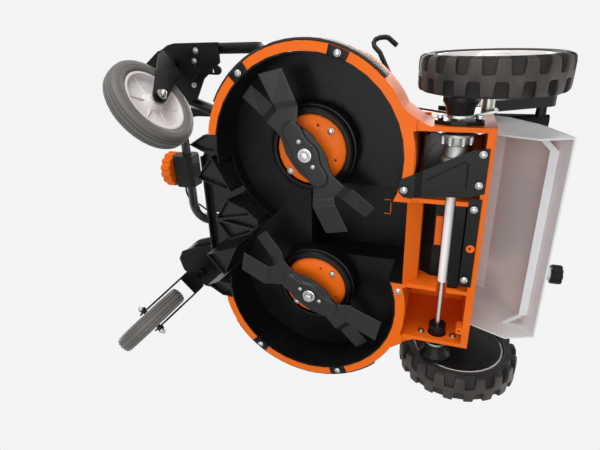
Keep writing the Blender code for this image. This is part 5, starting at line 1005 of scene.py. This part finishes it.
class MOWER_OT_gearbox_bosses(bpy.types.Operator):
    """Cast the bolt collar of the gearbox, bolt it on, and cover the drive motor beside it"""

    bl_idname = "mower.gearbox_bosses"
    bl_label = "Cast the Gearbox Bosses"

    def execute(self, context):
        size = context.scene.mower_fasteners
        low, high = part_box("gearbox")
        hub = Vector((high[0], (low[1] + high[1]) / 2, middle("drive_shaft").z))
        collar = turned(BOLT_COLLAR, 48)
        put(collar, seat(hub - Vector((0.0040, 0, 0)), (1, 0, 0)))
        boss = turned(BOLT_BOSS, 20)
        turns = [math.radians(angle) for angle in (205, 245, 295, 335, 25, 155)]
        bolt_ring = 0.0245
        spots = [hub + bolt_ring * Vector((0, math.cos(a), math.sin(a))) for a in turns]
        bosses = many(boss, [seat(spot, (1, 0, 0)) for spot in spots])
        fitted(merged([collar, bosses]), "gearbox_collar", "deck", "Cast aluminium", 40.0)
        heads = [seat(spot, (-1, 0, 0)) for spot in spots]
        inside = (1, 0, 0)
        wall = [faces("deck_housing", (0.192, y, 0.0445), inside) for y in (0.2376, 0.2984)]
        gearbox_bolts = many(hex_bolt(size.small * 0.8, 1.2), heads)
        bolts = merged([gearbox_bolts, many(hex_bolt(size.small, 2.4), wall)])
        fitted(bolts, "gearbox_bolts", "deck", "Screw zinc", 40.0)

        # The pressed cover on the drive motor with its curved rib, and the lining in front of it
        centre, cover_low = (0.140, 0.264), 0.0935
        cover = plate(
            [(0.100, 0.2105), (0.184, 0.2105), (0.193, 0.2195), (0.193, 0.2620), (0.100, 0.2620)],
            0.0048,
        )
        bevelled(put(cover, moved(*at(0, 0, cover_low))), 0.0008, 2, 40.0)
        rib = plate(arch(centre, 0.0500, 0.0468, 20, 222.0, 96.0), 0.0024)
        bevelled(put(rib, moved(*at(0, 0, cover_low - 0.0020))), 0.0008, 2, 40.0)
        fitted(merged([cover, rib]), "motor_cover", "deck", "Drum grey", 40.0)
        panel = put(block((0.096, 0.0012, 0.054)), moved(*at(0.1420, 0.2030, 0.0680)))
        fitted(panel, "chamber_lining", "deck", "Lining black", 40.0)
        return {"FINISHED"}


class MOWER_OT_housing_marks(bpy.types.Operator):
    """Fill the cut-outs that show the housing through the lining"""

    bl_idname = "mower.housing_marks"
    bl_label = "Make the Housing Marks"

    def execute(self, context):
        bars = []
        middle_bar, arm = (0.030, 0.0022, 0.0010), (0.0022, 0.0140, 0.0010)
        for size, x, y in (
            (middle_bar, 0.0080, 0.1425), (arm, 0.0235, 0.1355), (arm, -0.0090, 0.1355),
        ):
            bars.append(put(block(size, 0.96), under("deck_liner", x, y)))
        strip = block((0.060, 0.0125, 0.0012), 0.97)
        bars.append(put(strip, under("discharge_chute", 0.0105, 0.2490)))
        fitted(merged(bars), "housing_marks", "deck", "Housing orange", 40.0)
        return {"FINISHED"}


class MOWER_OT_hub_caps(bpy.types.Operator):
    """Press the hub caps into the rear rims"""

    bl_idname = "mower.hub_caps"
    bl_label = "Press the Hub Caps"

    def execute(self, context):
        cap = turned(HUB_CAP, 48)
        for word, side in SIDES:
            node = "rear_rim_" + word
            hub = middle(node)
            probe = hub - DATUM + Vector((side * 0.10, 0.016, 0))
            face = touch(node, probe, (-side, 0, 0))[0]
            copy = copied(cap, seat((face.x, hub.y, hub.z), (side, 0, 0)))
            fitted(copy, f"hub_cap_{word}", "rear_wheel_" + word, "Rim plastic", 35.0)
        drop(cap)
        return {"FINISHED"}


# Height from one cooling slat to the next
SLAT_PITCH = 0.0105


class MOWER_OT_shroud_trim(bpy.types.Operator):
    """Trim the top: cooling louvres, a grip on the lid and ribs on the control housing"""

    bl_idname = "mower.shroud_trim"
    bl_label = "Trim the Top Shroud"

    def execute(self, context):
        slats = []
        for _, side in SIDES:
            for row in range(6):
                for y in (-0.035, 0.045):
                    place = (side * 0.40, y, 0.225 + SLAT_PITCH * row)
                    slats.append(sits("top_shroud", place, (-side, 0, 0)))
        for row in range(5):
            for x in (-0.075, 0, 0.075):
                place = (x, -0.40, 0.235 + SLAT_PITCH * row)
                slats.append(sits("top_shroud", place, (0, 1, 0)))
        fitted(many(louvre(0.060, 0.0052), slats), "shroud_louvres", "deck", "Grained black", 35.0)

        low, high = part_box("battery_lid")
        start = (low[1] + high[1]) / 2 - DATUM.y - 0.030
        ribs = [sits("battery_lid", (0, start + 0.0085 * i, 0.60), DOWN) for i in range(6)]
        fitted(many(louvre(0.072, 0.0044), ribs), "lid_grip", "lid", "Flap white", 35.0)

        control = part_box("control_housing")
        centre = middle("control_housing") - DATUM
        behind = control[0][1] - DATUM.y + 0.3
        back = []
        for i in range(4):
            place = (centre.x, behind, centre.z - 0.012 + 0.008 * i)
            back.append(sits("control_housing", place, (0, -1, 0)))
        fitted(many(louvre(0.040, 0.0038), back), "control_ribs", "handle", "Grained black", 35.0)
        return {"FINISHED"}


class MowerStage(bpy.types.PropertyGroup):
    floor: bpy.props.FloatVectorProperty(
        name="Floor", description="Colour of the studio floor",
        subtype="COLOR", default=(0.62, 0.62, 0.61), min=0, max=1)
    lens: bpy.props.FloatProperty(
        name="Lens", description="Focal length in millimetres", default=27.0, min=10.0, max=200.0)


# Distance at which the floor has faded into the backdrop
FLOOR_REACH = 1.9


def lamp(name, place, size, power, colour=(1.0, 1.0, 1.0)):
    """Round lamp at a layout place, turned to the middle of the mower."""
    light = bpy.data.lights.new(name, "AREA")
    light.shape = "DISK"
    light.size = size
    light.energy = power
    light.color = colour
    stand = bpy.data.objects.new(name, light)
    stand.location = at(*place)
    way = at(0, 0, 0.15) - stand.location
    stand.rotation_euler = way.to_track_quat("-Z", "Y").to_euler()
    bpy.context.scene.collection.objects.link(stand)


class MOWER_OT_stage(bpy.types.Operator):
    """Set the floor, the lights, the world and the camera"""

    bl_idname = "mower.stage"
    bl_label = "Set the Stage"

    def execute(self, context):
        look = context.scene.mower_stage
        scene = context.scene
        scene.view_settings.view_transform = "Standard"
        # Seen from above only, and fading into the backdrop with distance
        bpy.ops.mesh.primitive_plane_add(size=14.0, location=(0, 0, 0))
        floor = context.active_object
        floor.name = "studio_floor"
        f = Finish("Studio floor", list(look.floor), 0.9)
        ray = f.tree.nodes.new("ShaderNodeLightPath")
        seen = Wire(f, ray.outputs["Is Camera Ray"])
        reach = f.node("ShaderNodeVectorMath", {"operation": "LENGTH"}, f.place, output="Value")
        near = (FLOOR_REACH - reach).clamped()
        behind = f.node("ShaderNodeNewGeometry", {}, output="Backfacing")
        clear = f.node("ShaderNodeBsdfTransparent", {})
        hidden = 1 - seen * (1 - behind) * near
        surface = Wire(f, f.shader.outputs[0])
        mix = f.node("ShaderNodeMixShader", {}, hidden, surface, clear)
        f.tree.links.new(mix.socket, f.tree.nodes["Material Output"].inputs["Surface"])
        floor.data.materials.append(f.material)

        # The world lights softly, and shows pale to the camera and in reflections
        world = bpy.data.worlds.new("Studio")
        scene.world = world
        world.use_nodes = True
        tree = world.node_tree
        link = tree.links.new
        soft = tree.nodes["Background"]
        soft.inputs["Color"].default_value = (0.93, 0.95, 1.0, 1.0)
        soft.inputs["Strength"].default_value = 0.42
        shown = tree.nodes.new("ShaderNodeBackground")
        shown.inputs["Color"].default_value = (0.90, 0.90, 0.90, 1.0)
        shown.inputs["Strength"].default_value = 1.0
        path = tree.nodes.new("ShaderNodeLightPath")
        seen = path.outputs["Is Camera Ray"]
        for word in ("Is Glossy Ray", "Is Transmission Ray"):
            either = tree.nodes.new("ShaderNodeMath")
            either.operation = "ADD"
            either.use_clamp = True
            link(seen, either.inputs[0])
            link(path.outputs[word], either.inputs[1])
            seen = either.outputs[0]
        pick = tree.nodes.new("ShaderNodeMixShader")
        link(seen, pick.inputs[0])
        link(soft.outputs[0], pick.inputs[1])
        link(shown.outputs[0], pick.inputs[2])
        link(pick.outputs[0], tree.nodes["World Output"].inputs["Surface"])

        lamp("Side key", (2.3, -0.2, -0.4), 1.8, 42.0, (1.0, 0.98, 0.95))
        lamp("Below fill", (0.3, 0.2, -2.2), 2.2, 32.0)
        lamp("Front fill", (-0.6, -2.4, 0.9), 2.0, 30.0)
        lamp("Rear fill", (-0.9, 2.4, 0.9), 2.0, 30.0)
        lamp("Top key", (0.4, -0.5, 2.6), 2.0, 75.0, (1.0, 0.99, 0.96))

        camera = bpy.data.cameras.new("Camera")
        camera.lens = look.lens
        camera.sensor_width = 36.0
        camera.clip_start = 0.01
        eye = bpy.data.objects.new("Camera", camera)
        scene.collection.objects.link(eye)
        right, up, ahead = CAMERA_TURN
        turn = Matrix((right, up, [-v for v in ahead])).transposed()
        eye.matrix_world = Matrix.Translation(at(*CAMERA_PLACE)) @ turn.to_4x4()
        scene.camera = eye
        return {"FINISHED"}


class MOWER_PT_panel(bpy.types.Panel):
    """Sizes, colours and steps of the mower's dressing"""

    bl_idname = "MOWER_PT_panel"
    bl_label = "Mower"
    bl_space_type = "VIEW_3D"
    bl_region_type = "UI"
    bl_category = "Mower"

    def draw(self, context):
        for holder, group in GROUPS.items():
            held = getattr(context.scene, holder)
            for name in group.__annotations__:
                self.layout.prop(held, name)
        for step in STEPS:
            self.layout.operator(step.bl_idname)


GROUPS = {
    "mower_finishes": MowerFinishes,
    "mower_edges": MowerEdges,
    "mower_tyres": MowerTyres,
    "mower_fasteners": MowerFasteners,
    "mower_stage": MowerStage,
}
STEPS = (
    MOWER_OT_finishes, MOWER_OT_mouldings, MOWER_OT_steelwork, MOWER_OT_blades,
    MOWER_OT_lining_rings, MOWER_OT_rear_tyres, MOWER_OT_caster_wheels, MOWER_OT_deck_screws,
    MOWER_OT_blade_bolts, MOWER_OT_axle_nuts, MOWER_OT_gearbox_bosses, MOWER_OT_housing_marks,
    MOWER_OT_hub_caps, MOWER_OT_shroud_trim, MOWER_OT_stage,
)
# Where the camera stands in the layout, and its right, up and forward directions
CAMERA_PLACE = (0.37162, 0.26983, -0.73405)
CAMERA_TURN = (
    (-0.033937, 0.942983, 0.331106),
    (0.914941, -0.103997, 0.389958),
    (-0.402158, -0.316177, 0.859245),
)


def register():
    for kind in (*GROUPS.values(), *STEPS, MOWER_PT_panel):
        bpy.utils.register_class(kind)
    for holder, group in GROUPS.items():
        setattr(bpy.types.Scene, holder, bpy.props.PointerProperty(type=group))


def unregister():
    for holder in GROUPS:
        delattr(bpy.types.Scene, holder)
    for kind in reversed((*GROUPS.values(), *STEPS, MOWER_PT_panel)):
        bpy.utils.unregister_class(kind)


def main():
    register()
    for step in STEPS:
        family, verb = step.bl_idname.split(".")
        getattr(getattr(bpy.ops, family), verb)()


if __name__ == "__main__":
    main()
